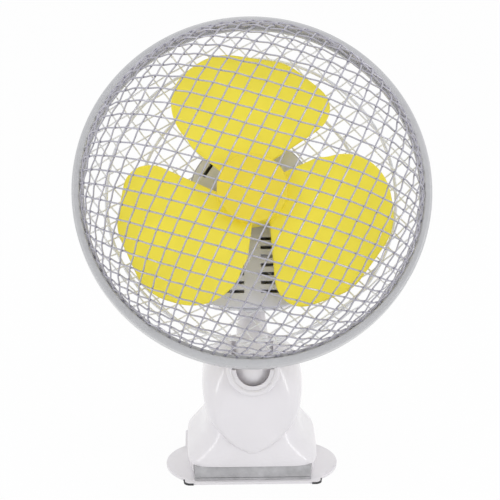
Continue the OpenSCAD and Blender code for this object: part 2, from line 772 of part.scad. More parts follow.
// A rounded bead round the lower end of the neck's slot
module neck_collar() color(white_plastic) {
    at = slot_half + bead_r;
    translate([0, -cover_front + 2.4, pivot_z + slot_rise]) rotate([-bead_lean, 0, 0]) {
        difference() {
            rotate([90, 0, 0]) {
                rotate_extrude() translate([at, 0]) circle(bead_r, $fn = 24);
                translate([0, 0, -3]) ring(at - bead_r + 0.2, at + bead_r - 0.2, 3);
            }
            translate([-30, -10, 0]) cube([60, 30, 30]);
        }
        both_sides() translate([at, 0, 0]) {
            cylinder(r = bead_r, h = bead_end);
            translate([0, 0, bead_end]) sphere(bead_r);
        }
    }
}

// Neck

module neck() color(white_plastic) on_neck() difference() {
    union() {
        intersection() {
            sphere(ball_r);
            cube([2 * ball_r - 0.1, 30, 30], center = true);
        }
        cylinder(r1 = neck_r1, r2 = neck_r2, h = neck_len);
        translate([0, 0, neck_len - eps]) cylinder(r = spigot_r, h = spigot_len);
    }
    bar_x(tilt_pin_r + run_gap, 40);
    translate([0, 0, ball_r]) cylinder(r = neck_bore_r, h = neck_len + spigot_len);
}

module swivel_washer() color(rubber) on_neck() translate([0, 0, neck_len])
    ring(spigot_r + eps, neck_r2, swivel_t);

// Head: the motor's housing and grille

stalk_low = neck_len + swivel_t + move_gap - axis_h;

module grille_outline() {
    circle(plate_r);
    intersection() {
        polygon([
            [-waist_half, 0], [-waist_half, -plate_r + 8], [-skirt_half, -plate_drop + 4],
            [-skirt_half, -plate_drop - 4], [skirt_half, -plate_drop - 4],
            [skirt_half, -plate_drop + 4], [waist_half, -plate_r + 8], [waist_half, 0]
        ]);
        translate([0, skirt_arc_r - plate_drop]) circle(skirt_arc_r, $fn = 256);
    }
}

module grille_slots() {
    for (k = [0:slot_rows - 1], side = [-1, 1])
        let (y = -slot_top - k * slot_pitch, far = min(skirt_half - 7, 17 + 1.2 * k))
        translate([side * (rib_half + far) / 2 - (far - rib_half) / 2, y - slot_h / 2])
            square([far - rib_half, slot_h]);
    for (a = [26, 146]) rotate(a) translate([vent_r - slot_h / 2, -vent_len / 2])
        square([slot_h, vent_len]);
}

module housing_screw_places() {
    for (a = [100, 190, -10]) rotate(a) translate([pod_screw_at, 0, 0]) children();
}

module motor_grille() color(grey_plastic) on_axis() difference() {
    union() {
        translate([0, 0, plate_z]) linear_extrude(plate_t) grille_outline();
        translate([0, 0, can_front]) ring(4.5, can_r - 1, plate_z - can_front + eps);
    }
    translate([0, 0, plate_z - 1]) linear_extrude(plate_t + 2) grille_slots();
    translate([0, 0, plate_z - 1]) cylinder(r = 4.5, h = plate_t + 2);
    housing_screw_places() translate([0, 0, plate_z - 1]) cylinder(r = pod_screw_r + 0.1, h = plate_t + 2);
}

module pod_solid(wall) {
    rotate_extrude() polygon(concat(
        [[0, clamp_z_front], [0, -pod_back + wall]],
        arc([pod_r - pod_round, pod_round - pod_back], pod_round - wall, -90, 0, 8),
        [[pod_r - wall, clamp_z_front]]
    ));
    side = stalk_half - stalk_round;
    back = stalk_back - stalk_round;
    translate([0, stalk_low + wall, 0]) rotate([-90, 0, 0]) linear_extrude(-stalk_low) polygon(concat(
        [[stalk_half - wall, -clamp_z_front]],
        arc([side, back], stalk_round - wall, 0, 90, 6),
        arc([-side, back], stalk_round - wall, 90, 180, 6),
        [[-stalk_half + wall, -clamp_z_front]]
    ));
}

module motor_housing() color(white_plastic) on_axis() difference() {
    union() {
        difference() {
            pod_solid(0);
            translate([0, 0, eps]) pod_solid(pod_wall);
        }
        intersection() {
            pod_solid(0);
            union() {
                translate([0, stalk_low, 0]) rotate([-90, 0, 0]) cylinder(r = sleeve_r, h = spigot_len - 4);
                housing_screw_places() translate([0, 0, -pod_back + 2])
                    cylinder(r = pod_screw_r + 1.6, h = clamp_z_front + pod_back - 2);
            }
        }
    }
    translate([0, stalk_low - 1, 0]) rotate([-90, 0, 0])
        cylinder(r = spigot_r + run_gap, h = spigot_len + 30);
    housing_screw_places() translate([0, 0, clamp_z_front - 10]) cylinder(r = pod_screw_r, h = 20);
}

module housing_screws() color(steel) on_axis() housing_screw_places() {
    translate([0, 0, clamp_z_front - 9]) cylinder(r = pod_screw_r, h = plate_z + plate_t - clamp_z_front + 9);
    translate([0, 0, plate_z + plate_t]) cylinder(r1 = pod_screw_head_r, r2 = pod_screw_head_r - 0.7, h = 1.4);
}

module swivel_clip() color(steel) on_neck() translate([0, 0, neck_len + spigot_len - 2])
    ring(spigot_r + eps, spigot_r + 2, 1);

// Motor

module motor_can() color(steel) on_axis() translate([0, 0, can_back]) difference() {
    cylinder(r = can_r, h = can_len);
    translate([0, 0, -1]) cylinder(r = can_r - can_wall, h = can_len - can_wall + 1);
    translate([0, 0, 1]) cylinder(r = bearing_r, h = can_len);
}

module motor_magnets() color([0.25, 0.25, 0.27]) on_axis() translate([0, 0, core_z - core_len / 2 - 1])
    difference() {
        ring(magnet_r - magnet_t, magnet_r, core_len + 2);
        translate([-2, -30, -1]) cube([4, 60, core_len + 4]);
    }

module motor_end_cap() color([0.85, 0.84, 0.78]) on_axis() translate([0, 0, can_back]) difference() {
    cylinder(r = can_r - can_wall - eps, h = end_cap_t);
    translate([0, 0, -1]) cylinder(r = bearing_r, h = end_cap_t + 2);
}

module motor_bearings() color(copper) on_axis() {
    translate([0, 0, can_front - can_wall - 1]) ring(shaft_r + run_gap, bearing_r, can_wall + 1);
    translate([0, 0, can_back]) ring(shaft_r + run_gap, bearing_r, end_cap_t);
}

// Carbon brushes, each on a spring arm that stands on the end cap
module motor_brushes() color(copper) on_axis() both_sides() {
    arm = magnet_r - magnet_t - brush_w / 2;
    tip = comm_r + brush_gap;
    translate([tip, -brush_w / 2, comm_z - brush_w / 2]) cube([arm - tip + eps, brush_w, brush_w]);
    translate([arm, -brush_w / 2, can_back + end_cap_t])
        cube([brush_arm_t, brush_w, comm_z + brush_w / 2 - can_back - end_cap_t]);
}

module motor_shaft() color(steel) on_axis() translate([0, 0, can_back - 1])
    cylinder(r = shaft_r, h = prop_z + 3 - can_back + 1);

module armature_core() color([0.45, 0.45, 0.48]) on_axis() translate([0, 0, core_z - core_len / 2])
    difference() {
        cylinder(r = core_r, h = core_len);
        translate([0, 0, -1]) cylinder(r = shaft_r, h = core_len + 2);
        for (a = [0, 120, 240]) rotate(a) translate([core_r - 4, -1, -1]) cube([8, 2, core_len + 2]);
    }

module armature_windings() color(copper) on_axis() {
    for (z = [core_z - core_len / 2 - 2.2, core_z + core_len / 2]) translate([0, 0, z])
        ring(shaft_r + 1, core_r - 1, 2.2);
}

module commutator() color(copper) on_axis() translate([0, 0, comm_z - comm_len / 2])
    ring(shaft_r, comm_r, comm_len);

// Propeller

// Circles that a blade's outline wraps: distance out, place across the blade, radius
blade_lobes = [
    [blade_tip - tip_r, 7, tip_r],
    [48, 13.2, 26.4],
    [50, -15, 24],
    [45, -34.3, 13.8]
];
// Corners of a blade's root, from the hub out along its trailing and its leading edge
blade_root = [[8, 12.2], [26.5, 31.7], [50, 0], [34.7, -45.2], [13, -6.7]];

module blade_outline() {
    hull() for (lobe = blade_lobes) translate([lobe[0], lobe[1]]) circle(lobe[2]);
    polygon(blade_root);
}

module blade() intersection() {
    translate([0, 0, -30]) linear_extrude(60) blade_outline();
    translate([
        0, -blade_camber * sin(blade_pitch), blade_camber * cos(blade_pitch) - blade_set
    ]) rotate([0, 90, 0]) difference() {
        cylinder(r = blade_camber + blade_t / 2, h = blade_tip + 20, $fn = 180);
        translate([0, 0, -1]) cylinder(r = blade_camber - blade_t / 2, h = blade_tip + 22, $fn = 180);
    }
}

module propeller() color(yellow_plastic) on_axis() translate([0, 0, prop_z]) difference() {
    union() {
        difference() {
            translate([0, 0, -hub_back]) cylinder(r = hub_r, h = hub_front + hub_back);
            translate([0, 0, -hub_back - 1]) cylinder(r = hub_r - hub_wall, h = hub_front + hub_back - 1);
        }
        translate([0, 0, -hub_back]) cylinder(r = hub_boss_r, h = hub_front + hub_back - 1);
        difference() {
            for (k = [0:blades - 1]) rotate(blade_turn + k * 360 / blades) blade();
            translate([0, 0, -40]) cylinder(r = hub_r - 1, h = 80);
        }
    }
    translate([0, 0, -hub_back - 1]) cylinder(r = shaft_r, h = hub_back + 4);
}

// Guard: two rims, each with a two-layer mesh

module rim_half_ring() rotate_extrude($fn = 180) polygon(concat(
    [[rim_in - lip_reach, 0], [rim_r, 0]],
    [
        for (k = [0:6])
            let (a = 90 * k / 6)
            [rim_r - rim_round + rim_round * cos(a), rim_half - rim_round + rim_round * sin(a)]
    ],
    [[rim_in, rim_half], [rim_in, lip_t], [rim_in - lip_reach, lip_t]]
));

module front_rim() color(white_plastic) on_axis() translate([0, 0, rim_w]) rim_half_ring();
module rear_rim() color(white_plastic) on_axis() translate([0, 0, rim_w]) mirror([0, 0, 1]) rim_half_ring();

// Section of the front guard at distance s from its middle, measured along it:
// radius, height and slope, at an offset d outside its middle surface
dome_arc = dome_r * PI / 2;
dome_len = dome_flat + dome_arc + dome_wall;
function dome_at(s, d) =
    s <= dome_flat ? [s, dome_top + d, 0] :
    s <= dome_flat + dome_arc ?
        let (a = (s - dome_flat) / dome_r * 180 / PI)
        [dome_flat + (dome_r + d) * sin(a), dome_top - dome_r + (dome_r + d) * cos(a), a] :
        [mesh_r + d, dome_top - dome_r - (s - dome_flat - dome_arc), 90];

// Section of the rear guard, in the same way, facing backwards
wall_top = lip_t + mesh_gap + wire_d / 2;
corner_len = norm([corner_r - back_r, back_depth - corner_depth]);
wall_len = norm([mesh_r - corner_r, corner_depth - wall_top]);
corner_slope = atan2(back_depth - corner_depth, corner_r - back_r);
wall_slope = atan2(corner_depth - wall_top, mesh_r - corner_r);
dish_len = back_r + corner_len + wall_len;
function along(r, z, slope, s, d) =
    [r + s * cos(slope) + d * sin(slope), z - s * sin(slope) + d * cos(slope), slope];
function dish_at(s, d) =
    s <= back_r ? [s, back_depth + d, 0] :
    s <= back_r + corner_len ? along(back_r, back_depth, corner_slope, s - back_r, d) :
        along(corner_r, corner_depth, wall_slope, s - back_r - corner_len, d);

function section_at(s, d, is_front) = is_front ? dome_at(s, d) : dish_at(s, d);
// A point of the flat mesh, bent onto the guard: the point and its outward direction
function bent(p, d, is_front) =
    let (s = norm(p), u = s > 0 ? p / s : [1, 0], q = section_at(s, d, is_front))
    [
        [u[0] * q[0], u[1] * q[0], q[1]],
        [u[0] * sin(q[2]), u[1] * sin(q[2]), cos(q[2])]
    ];

// A three-sided wire through bent points
module wire(path) {
    last = len(path) - 1;
    tube([
        for (k = [0:last])
            ring_points(
                path[k][0], path[min(k + 1, last)][0] - path[max(k - 1, 0)][0],
                path[k][1], wire_d / 2 * 1.15, 3
            )
    ]);
}

// One family of parallel wires: each runs along way from edge to edge, side by side
module wires(way, pitch, side, start, edge, hole, d, is_front) {
    count = ceil(2 * edge / norm(side));
    for (i = [-count:count]) {
        p = start + i * side;
        mid = p * way;
        off2 = p * p - mid * mid;
        if (off2 < (edge - edge_skip) * (edge - edge_skip)) {
            far = sqrt(edge * edge - off2);
            near = off2 < hole * hole ? sqrt(hole * hole - off2) : 0;
            whole = [[-mid - far, -mid + far]];
            spans = near > 0 ? [[-mid - far, -mid - near], [-mid + near, -mid + far]] : whole;
            for (span = spans)
                let (
                    inner = [
                        for (j = [ceil((span[0] + 2) / pitch):floor((span[1] - 2) / pitch)]) j * pitch
                    ],
                    stops = concat([span[0]], inner, [span[1]])
                )
                wire([for (t = stops) bent(p + t * way, d, is_front)]);
        }
    }
}

function heading(a) = [cos(a), sin(a)];
way_a = heading(dir_a);
way_b = heading(dir_b);
mesh_start = [mesh_x, mesh_y];

rear_way_a = heading(-dir_a - rear_turn);
rear_way_b = heading(-dir_b - rear_turn);
rear_hole = hub_ring_r + hub_ring_w + mesh_gap;

module on_rim() on_axis() translate([0, 0, rim_w]) children();
module on_rim_back() on_rim() rotate([0, 180, 0]) children();

module front_mesh_falling() color(wire_coat) on_rim()
    wires(way_a, pitch_a, pitch_b * way_b, mesh_start, dome_len, 0, mesh_off, true);
module front_mesh_rising() color(wire_coat) on_rim()
    wires(way_b, pitch_b, pitch_a * way_a, mesh_start, dome_len, 0, -mesh_off, true);
module rear_mesh_falling() color(wire_coat) on_rim_back()
    wires(rear_way_a, pitch_a, pitch_b * rear_way_b, mesh_start, dish_len, rear_hole, mesh_off, false);
module rear_mesh_rising() color(wire_coat) on_rim_back()
    wires(rear_way_b, pitch_b, pitch_a * rear_way_a, mesh_start, dish_len, rear_hole, -mesh_off, false);

module hoop(r, depth) translate([0, 0, -depth]) rotate_extrude($fn = 120)
    translate([r, 0]) circle(hoop_d / 2, $fn = 24);

module rear_hoops() color(wire_coat) on_rim() {
    away = mesh_off + wire_d / 2 + hoop_d / 2;
    hoop(back_r + away * 0.3, back_depth + away * 1.02);
    hoop(corner_r + away * 0.6, corner_depth + away * 0.9);
}

module rear_hub_ring() color(steel) on_axis() translate([0, 0, clamp_z_front])
    ring(hub_ring_r, hub_ring_r + hub_ring_w, plate_z - clamp_z_front);

foot_plate();
foot_bumpers();
lower_jaw_pad();
clamp_pin();
clamp_spring();
base_body();
base_cover();
base_floor();
upper_jaw_pad();
base_screws();
battery_cradle();
battery_cells();
charging_socket();
switch_frame();
switch_rocker();
tilt_bracket();
tilt_pin();
friction_washers();
neck_collar();
neck();
swivel_washer();
motor_housing();
motor_grille();
housing_screws();
swivel_clip();
motor_can();
motor_magnets();
motor_end_cap();
motor_bearings();
motor_brushes();
motor_shaft();
armature_core();
armature_windings();
commutator();
propeller();
rear_rim();
rear_hub_ring();
rear_hoops();
rear_mesh_falling();
rear_mesh_rising();
front_rim();
front_mesh_falling();
front_mesh_rising();
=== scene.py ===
"""The looks of the portable camping fan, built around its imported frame. Lengths are in metres."""
import json
import math

import bmesh
import bpy
from mathutils import Matrix, Vector
from mathutils.geometry import convex_hull_2d

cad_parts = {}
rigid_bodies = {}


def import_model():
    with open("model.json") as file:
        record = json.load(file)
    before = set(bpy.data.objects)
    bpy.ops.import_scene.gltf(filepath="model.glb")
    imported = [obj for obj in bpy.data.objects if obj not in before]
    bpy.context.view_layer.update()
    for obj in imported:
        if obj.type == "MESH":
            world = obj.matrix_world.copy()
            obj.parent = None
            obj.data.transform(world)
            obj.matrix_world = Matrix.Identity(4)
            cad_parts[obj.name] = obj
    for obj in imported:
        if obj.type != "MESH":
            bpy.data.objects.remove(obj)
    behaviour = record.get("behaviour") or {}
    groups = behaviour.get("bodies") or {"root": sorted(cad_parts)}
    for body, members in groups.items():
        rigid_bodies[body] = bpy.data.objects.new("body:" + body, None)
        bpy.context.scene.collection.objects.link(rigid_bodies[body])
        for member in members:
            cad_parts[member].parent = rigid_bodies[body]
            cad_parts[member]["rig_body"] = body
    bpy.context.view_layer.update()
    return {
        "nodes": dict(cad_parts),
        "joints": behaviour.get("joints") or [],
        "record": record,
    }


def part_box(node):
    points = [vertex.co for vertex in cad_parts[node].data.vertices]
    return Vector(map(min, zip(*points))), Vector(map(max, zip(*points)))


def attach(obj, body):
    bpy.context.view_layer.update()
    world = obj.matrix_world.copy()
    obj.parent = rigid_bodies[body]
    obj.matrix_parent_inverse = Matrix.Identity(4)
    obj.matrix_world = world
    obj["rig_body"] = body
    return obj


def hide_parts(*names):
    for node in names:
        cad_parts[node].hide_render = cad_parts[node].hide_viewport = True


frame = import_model()

MM = 0.001
AXIS_X = Vector((1, 0, 0))
AXIS_Y = Vector((0, 1, 0))
AXIS_Z = Vector((0, 0, 1))


# ---------------------------------------------------------------- where things are

joints = {joint["name"]: joint for joint in frame["joints"]}
FORWARD = Vector(joints["propeller_spin"]["axis"]).normalized()
MAST = Vector(joints["head_swivel"]["axis"]).normalized()
RIGHT = MAST.cross(FORWARD).normalized()
FAN_ORIGIN = Vector(joints["propeller_spin"]["pos_m"])
PIVOT = Vector(joints["head_tilt"]["pos_m"])


def space(origin, x, y, z):
    """The matrix that takes a point drawn along these three axes to its place on the object."""
    turn = Matrix((x, y, z)).transposed().to_4x4()
    return Matrix.Translation(origin) @ turn


FAN = space(FAN_ORIGIN, RIGHT, MAST, FORWARD)
NECK = space(PIVOT, RIGHT, -FORWARD, MAST)


def reach(node, into):
    """How far a CAD node reaches from an axis, and its lowest and highest place along that axis."""
    back = into.inverted()
    points = [back @ vertex.co for vertex in frame["nodes"][node].data.vertices]
    radius = max(math.hypot(p.x, p.y) for p in points)
    return radius, min(p.z for p in points), max(p.z for p in points)


RIM_R, RIM_BACK, RIM_Z = reach("rear_rim", FAN)
RIM_HALF = RIM_Z - RIM_BACK
RIM = FAN @ Matrix.Translation((0, 0, RIM_Z))
REAR_RIM = RIM @ Matrix.Rotation(math.pi, 4, "Y")


# ---------------------------------------------------------------- materials

WHITE = (0.80, 0.775, 0.795)
# The rim's white plastic, darkened: painted shade over the whole guard rim.
RIM_SHADED_WHITE = (0.52, 0.52, 0.53)
YELLOW = (0.93, 0.79, 0.055)
# The hub's yellow, darker than the blades': painted shade on the hub's front.
HUB_SHADE_YELLOW = (0.88, 0.70, 0.045)
GREY = (0.72, 0.72, 0.80)
BLACK = (0.02, 0.02, 0.022)
SLEEVE_BLUE = (0.05, 0.16, 0.42)
FERRITE_BLACK = (0.06, 0.06, 0.065)
# The front guard's wire coat, darkened: painted shade on the front wires. The rear guard's wires take a
# lighter copy of the same coat.
WIRE_SHADE_GREY = (0.43, 0.42, 0.475)
# The knots, darker than the wires: painted shade where two wires cross.
KNOT_SHADE_GREY = (0.29, 0.28, 0.35)
# The rear guard's wire coat, lightened: painted light on the rear wires and hoops, against the shade inside
# the guard.
PALE_WIRE_PAINTED_LIGHT = (0.90, 0.90, 0.92)
RUBBER_BLACK = (0.045, 0.045, 0.047)
RUBBER_GREY = (0.46, 0.455, 0.465)
STEEL = (0.66, 0.67, 0.69)
CORE_STEEL = (0.30, 0.30, 0.32)
COPPER = (0.72, 0.40, 0.20)


class Shader:
    """A short way to write a procedural material around one Principled shader."""

    def __init__(self, name):
        self.material = bpy.data.materials.new(name)
        self.material.use_nodes = True
        self.nodes = self.material.node_tree.nodes
        self.links = self.material.node_tree.links
        self.shader = self.nodes["Principled BSDF"]
        self.place = self.nodes.new("ShaderNodeTexCoord").outputs["Object"]

    def set(self, **values):
        """Sets plain values on the shader's own sockets."""
        for name, value in values.items():
            self.shader.inputs[name.replace("_", " ")].default_value = value
        return self

    def noise(self, scale, detail, roughness=0.5, stretch=(1, 1, 1)):
        """Noise through the piece, finer along the axes that are stretched more."""
        place = self.nodes.new("ShaderNodeMapping")
        place.inputs["Scale"].default_value = stretch
        texture = self.nodes.new("ShaderNodeTexNoise")
        texture.inputs["Scale"].default_value = scale
        texture.inputs["Detail"].default_value = detail
        texture.inputs["Roughness"].default_value = roughness
        self.links.new(self.place, place.inputs["Vector"])
        self.links.new(place.outputs["Vector"], texture.inputs["Vector"])
        return texture.outputs["Fac"]

    def ramp(self, source, dark, light, low=0.3, high=0.7):
        """Turns a value into a colour between a dark and a light one."""
        ramp = self.nodes.new("ShaderNodeValToRGB")
        ramp.color_ramp.elements[0].position = low
        ramp.color_ramp.elements[1].position = high
        ramp.color_ramp.elements[0].color = (*dark, 1)
        ramp.color_ramp.elements[1].color = (*light, 1)
        self.links.new(source, ramp.inputs["Fac"])
        return ramp.outputs["Color"]

    def to(self, source, socket):
        """Feeds a source into one of the shader's sockets."""
        self.links.new(source, self.shader.inputs[socket])
        return self

    def bump(self, source, strength, distance):
        """Raises and sinks the surface a little."""
        bump = self.nodes.new("ShaderNodeBump")
        bump.inputs["Strength"].default_value = strength
        bump.inputs["Distance"].default_value = distance
        self.links.new(source, bump.inputs["Height"])
        self.links.new(bump.outputs["Normal"], self.shader.inputs["Normal"])
        return self


def shade(colour, share):
    """A colour made darker or lighter by a share."""
    return tuple(min(1.0, part * share) for part in colour)


def spread(centre, width):
    """A grey ramp's two ends round a roughness."""
    return (centre - width,) * 3, (centre + width,) * 3


def plastic(name, colour, roughness, grain, depth, mottle=0.02, coat=0.0):
    """Moulded plastic: a faint mottle of its colour, rougher and smoother places, and a fine grain."""
    made = Shader(name)
    cloud = made.noise(scale=38, detail=2.0)
    made.to(made.ramp(cloud, shade(colour, 1 - mottle), shade(colour, 1 + mottle)), "Base Color")
    made.to(made.ramp(made.noise(scale=160, detail=2.0), *spread(roughness, width=0.05)), "Roughness")
    made.bump(made.noise(scale=grain, detail=2.0), strength=0.25, distance=depth)
    return made.set(Coat_Weight=coat, Coat_Roughness=0.07, IOR=1.48).material


def rubber(name, colour):
    """Dull rubber with a coarse grain."""
    made = Shader(name)
    cloud = made.noise(scale=120, detail=4.0, roughness=0.6)
    made.to(made.ramp(cloud, shade(colour, 0.8), shade(colour, 1.15)), "Base Color")
    made.to(made.ramp(made.noise(scale=900, detail=3.0), *spread(0.72, width=0.1)), "Roughness")
    made.bump(made.noise(scale=900, detail=3.0, roughness=0.7), strength=0.5, distance=0.08 * MM)
    return made.set(IOR=1.5).material


def metal(name, colour, roughness, stretch):
    """Metal with streaks across the axis that is stretched."""
    made = Shader(name)
    streaks = made.noise(scale=60, detail=4.0, roughness=0.7, stretch=stretch)
    made.to(made.ramp(streaks, shade(colour, 0.82), shade(colour, 1.05)), "Base Color")
    made.to(made.ramp(streaks, *spread(roughness, width=0.08)), "Roughness")
    made.bump(streaks, strength=0.15, distance=0.03 * MM)
    return made.set(Metallic=1.0).material


def coated_wire(name, colour, metallic=0.0):
    """Wire under a lacquer that is a little thicker and thinner along the wire."""
    made = Shader(name)
    cloud = made.noise(scale=240, detail=3.0, roughness=0.6)
    made.to(made.ramp(cloud, shade(colour, 0.92), shade(colour, 1.06)), "Base Color")
    made.to(made.ramp(made.noise(scale=500, detail=2.0), *spread(0.3, width=0.08)), "Roughness")
    made.bump(cloud, strength=0.3, distance=0.1 * MM)
    return made.set(Metallic=metallic, Coat_Weight=0.2, Coat_Roughness=0.15).material


materials = {
    "base_plastic": plastic("moulded_white", WHITE, 0.34, grain=900, depth=0.02 * MM, coat=0.6),
    # The rim's darker white is painted shade.
    "rim_plastic": plastic("moulded_rim_painted_shade", RIM_SHADED_WHITE, 0.30, grain=700, depth=0.04 * MM, coat=0.3),
    "yellow_plastic": plastic("moulded_yellow", YELLOW, 0.36, grain=800, depth=0.04 * MM, mottle=0.03),
    "grey_plastic": plastic("moulded_grey", GREY, 0.5, grain=1200, depth=0.06 * MM, mottle=0.04),
    "black_plastic": plastic("moulded_black", BLACK, 0.42, grain=1200, depth=0.06 * MM, mottle=0.1),
    "cell_sleeve": plastic("shrink_sleeve", SLEEVE_BLUE, 0.25, grain=200, depth=0.1 * MM, coat=0.5),
    # The front wires' darker coat is painted shade.
    "wire_coating": coated_wire("coated_wire", WIRE_SHADE_GREY, metallic=0.25),
    "black_rubber": rubber("black_rubber", RUBBER_BLACK),
    "grey_rubber": rubber("grey_rubber", RUBBER_GREY),
    "bright_steel": metal("plated_steel", STEEL, 0.28, stretch=(1, 1, 14)),
    "core_steel": metal("stacked_steel", CORE_STEEL, 0.45, stretch=(1, 1, 40)),
    "ferrite": plastic("ferrite", FERRITE_BLACK, 0.7, grain=1500, depth=0.1 * MM, mottle=0.15),
    "bronze": metal("copper_and_bronze", COPPER, 0.35, stretch=(1, 14, 1)),
}
# The knots' darker coat is painted shade at the crossings.
knot_shade_coating = coated_wire("coated_knot_painted_shade", KNOT_SHADE_GREY, metallic=0.25)
# The lighter copy of the wire coat is painted light, for the rear guard.
lit_pale_coating = coated_wire("pale_coated_wire_painted_light", PALE_WIRE_PAINTED_LIGHT)
# The hub's darker yellow is painted shade.
hub_shade_yellow = plastic("moulded_hub_painted_shade", HUB_SHADE_YELLOW, 0.4, grain=800, depth=0.04 * MM, mottle=0.03)
slot_of = {part["node"]: part["material_slot"] for part in frame["record"]["subparts"]}


def paint(piece, slot):
    """Gives a piece its slot's material and no other."""
    piece.data.materials.clear()
    piece.data.materials.append(materials[slot])


for node, cad_object in frame["nodes"].items():
    paint(cad_object, slot_of[node])
# The rear guard's wires and hoops take the lighter coat: painted light.
for node in ("rear_hoops", "rear_mesh_falling", "rear_mesh_rising"):
    frame["nodes"][node].data.materials[0] = lit_pale_coating


# ---------------------------------------------------------------- making pieces

SHARP_ANGLE = math.radians(35)
BEVEL_ANGLE = math.radians(30)
FLAT_ANGLE = math.radians(1)
SAME_PLACE = 0.0005 * MM
SAME_CAD_PLACE = 0.002 * MM
SHARP_CUT = 0.001 * MM
# The largest share of an edge that the rounding of one corner takes
EDGE_SHARE = 0.49


def smooth(mesh):
    """The same mesh with all its faces shaded smooth."""
    for polygon in mesh.polygons:
        polygon.use_smooth = True
    return mesh


def link(name, mesh, nodes):
    """Puts a mesh into the scene for the CAD nodes that it stands for, on their body."""
    piece = bpy.data.objects.new(name, mesh)
    bpy.context.scene.collection.objects.link(piece)
    slot = slot_of[nodes[0]]
    paint(piece, slot)
    mesh.set_sharp_from_angle(angle=SHARP_ANGLE)
    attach(piece, frame["nodes"][nodes[0]]["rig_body"])
    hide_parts(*nodes)
    return piece


def mesh_from(name, points, faces, into=Matrix.Identity(4)):
    """A smooth mesh of these points and faces, placed on the object."""
    mesh = bpy.data.meshes.new(name)
    mesh.from_pydata([into @ Vector(p) for p in points], [], faces)
    mesh.validate()
    smooth(mesh)
    mesh.update()
    return mesh


def tidy_normals(mesh):
    """Joins points that share a place, and turns every face outwards."""
    work = bmesh.new()
    work.from_mesh(mesh)
    bmesh.ops.remove_doubles(work, verts=work.verts, dist=SAME_PLACE)
    bmesh.ops.recalc_face_normals(work, faces=work.faces)
    work.to_mesh(mesh)
    work.free()


def with_modifier(mesh, add):
    """The mesh as it looks after the modifier that add gives its holder."""
    holder = bpy.data.objects.new("holder", mesh)
    bpy.context.scene.collection.objects.link(holder)
    add(holder)
    bpy.context.view_layer.update()
    seen = holder.evaluated_get(bpy.context.evaluated_depsgraph_get())
    result = bpy.data.meshes.new_from_object(seen)
    bpy.data.objects.remove(holder)
    return result


def bevel(width, segments=2):
    """Gives with_modifier the modifier that rounds a mesh's sharp edges."""
    def add(holder):
        modifier = holder.modifiers.new("Bevel", "BEVEL")
        modifier.width = width
        modifier.segments = segments
        modifier.limit_method = "ANGLE"
        modifier.angle_limit = BEVEL_ANGLE
    return add


def combine(mesh, tool_mesh, operation):
    """The mesh united with, cut by, or kept inside another closed mesh."""
    tool = bpy.data.objects.new("tool", tool_mesh)
    bpy.context.scene.collection.objects.link(tool)

    def add(holder):
        modifier = holder.modifiers.new("Boolean", "BOOLEAN")
        modifier.object = tool
        modifier.operation = operation
        modifier.solver = "EXACT"

    result = with_modifier(mesh, add)
    bpy.data.objects.remove(tool)
    return result


def dress(node, width):
    """A copy of a CAD node's shape with its edges rounded."""
    mesh = frame["nodes"][node].data.copy()
    clean = bmesh.new()
    clean.from_mesh(mesh)
    bmesh.ops.remove_doubles(clean, verts=clean.verts, dist=SAME_CAD_PLACE)
    bmesh.ops.dissolve_limit(clean, angle_limit=FLAT_ANGLE, verts=clean.verts, edges=clean.edges)
    clean.to_mesh(mesh)
    clean.free()
    mesh = with_modifier(smooth(mesh), bevel(width))
    link(node + "_moulding", smooth(mesh), [node])


def heading(angle):
    """The flat direction at an angle from X."""
    return Vector((math.cos(angle), math.sin(angle)))


def arc_points(radius, start, end, steps):
    """Points along an arc round the origin, its angles in degrees."""
    turns = [math.radians(start + (end - start) * k / steps) for k in range(steps + 1)]
    return [(radius * math.cos(a), radius * math.sin(a)) for a in turns]


def rounded(corners, steps=5):
    """A closed outline through corners, each with its X, its Y and the radius that rounds it."""
    spots = [Vector((x, y)) for x, y, _ in corners]
    outline = []
    for k, here in enumerate(spots):
        before = spots[k - 1] - here
        after = spots[(k + 1) % len(spots)] - here
        cut = corners[k][2] / math.tan(before.angle(after) / 2)
        cut = min(cut, EDGE_SHARE * before.length, EDGE_SHARE * after.length)
        if cut < SHARP_CUT:
            outline.append(tuple(here))
            continue
        start = here + before.normalized() * cut
        end = here + after.normalized() * cut
        for j in range(steps + 1):
            t = j / steps
            outline.append(tuple((1 - t) ** 2 * start + 2 * t * (1 - t) * here + t * t * end))
    return outline


def tube_faces(levels, count):
    """The faces of a closed body through rings of points: those between the rings, then its two ends."""
    faces = []
    for j in range(levels - 1):
        low, high = j * count, (j + 1) * count
        faces += [(low + k, low + (k + 1) % count, high + (k + 1) % count, high + k) for k in range(count)]
    faces.append(tuple(range(count - 1, -1, -1)))
    faces.append(tuple((levels - 1) * count + k for k in range(count)))
    return faces


def closed(levels):
    """A closed body through levels of points that run round it."""
    points = [p for level in levels for p in level]
    mesh = mesh_from("body", points, tube_faces(len(levels), len(levels[0])))
    tidy_normals(mesh)
    return mesh


def prism(outline, depth, into):
    """A closed solid: an outline in X and Y, pulled up to a depth along Z, then placed."""
    points = [(x, y, z) for z in (0.0, depth) for x, y in outline]
    mesh = mesh_from("prism", points, tube_faces(2, len(outline)), into)
    tidy_normals(mesh)
    return mesh


def box_mesh(low, high):
    """A closed box between two corners."""
    (x0, y0, z0), (x1, y1, z1) = low, high
    return prism([(x0, y0), (x1, y0), (x1, y1), (x0, y1)], z1 - z0, Matrix.Translation((0, 0, z0)))


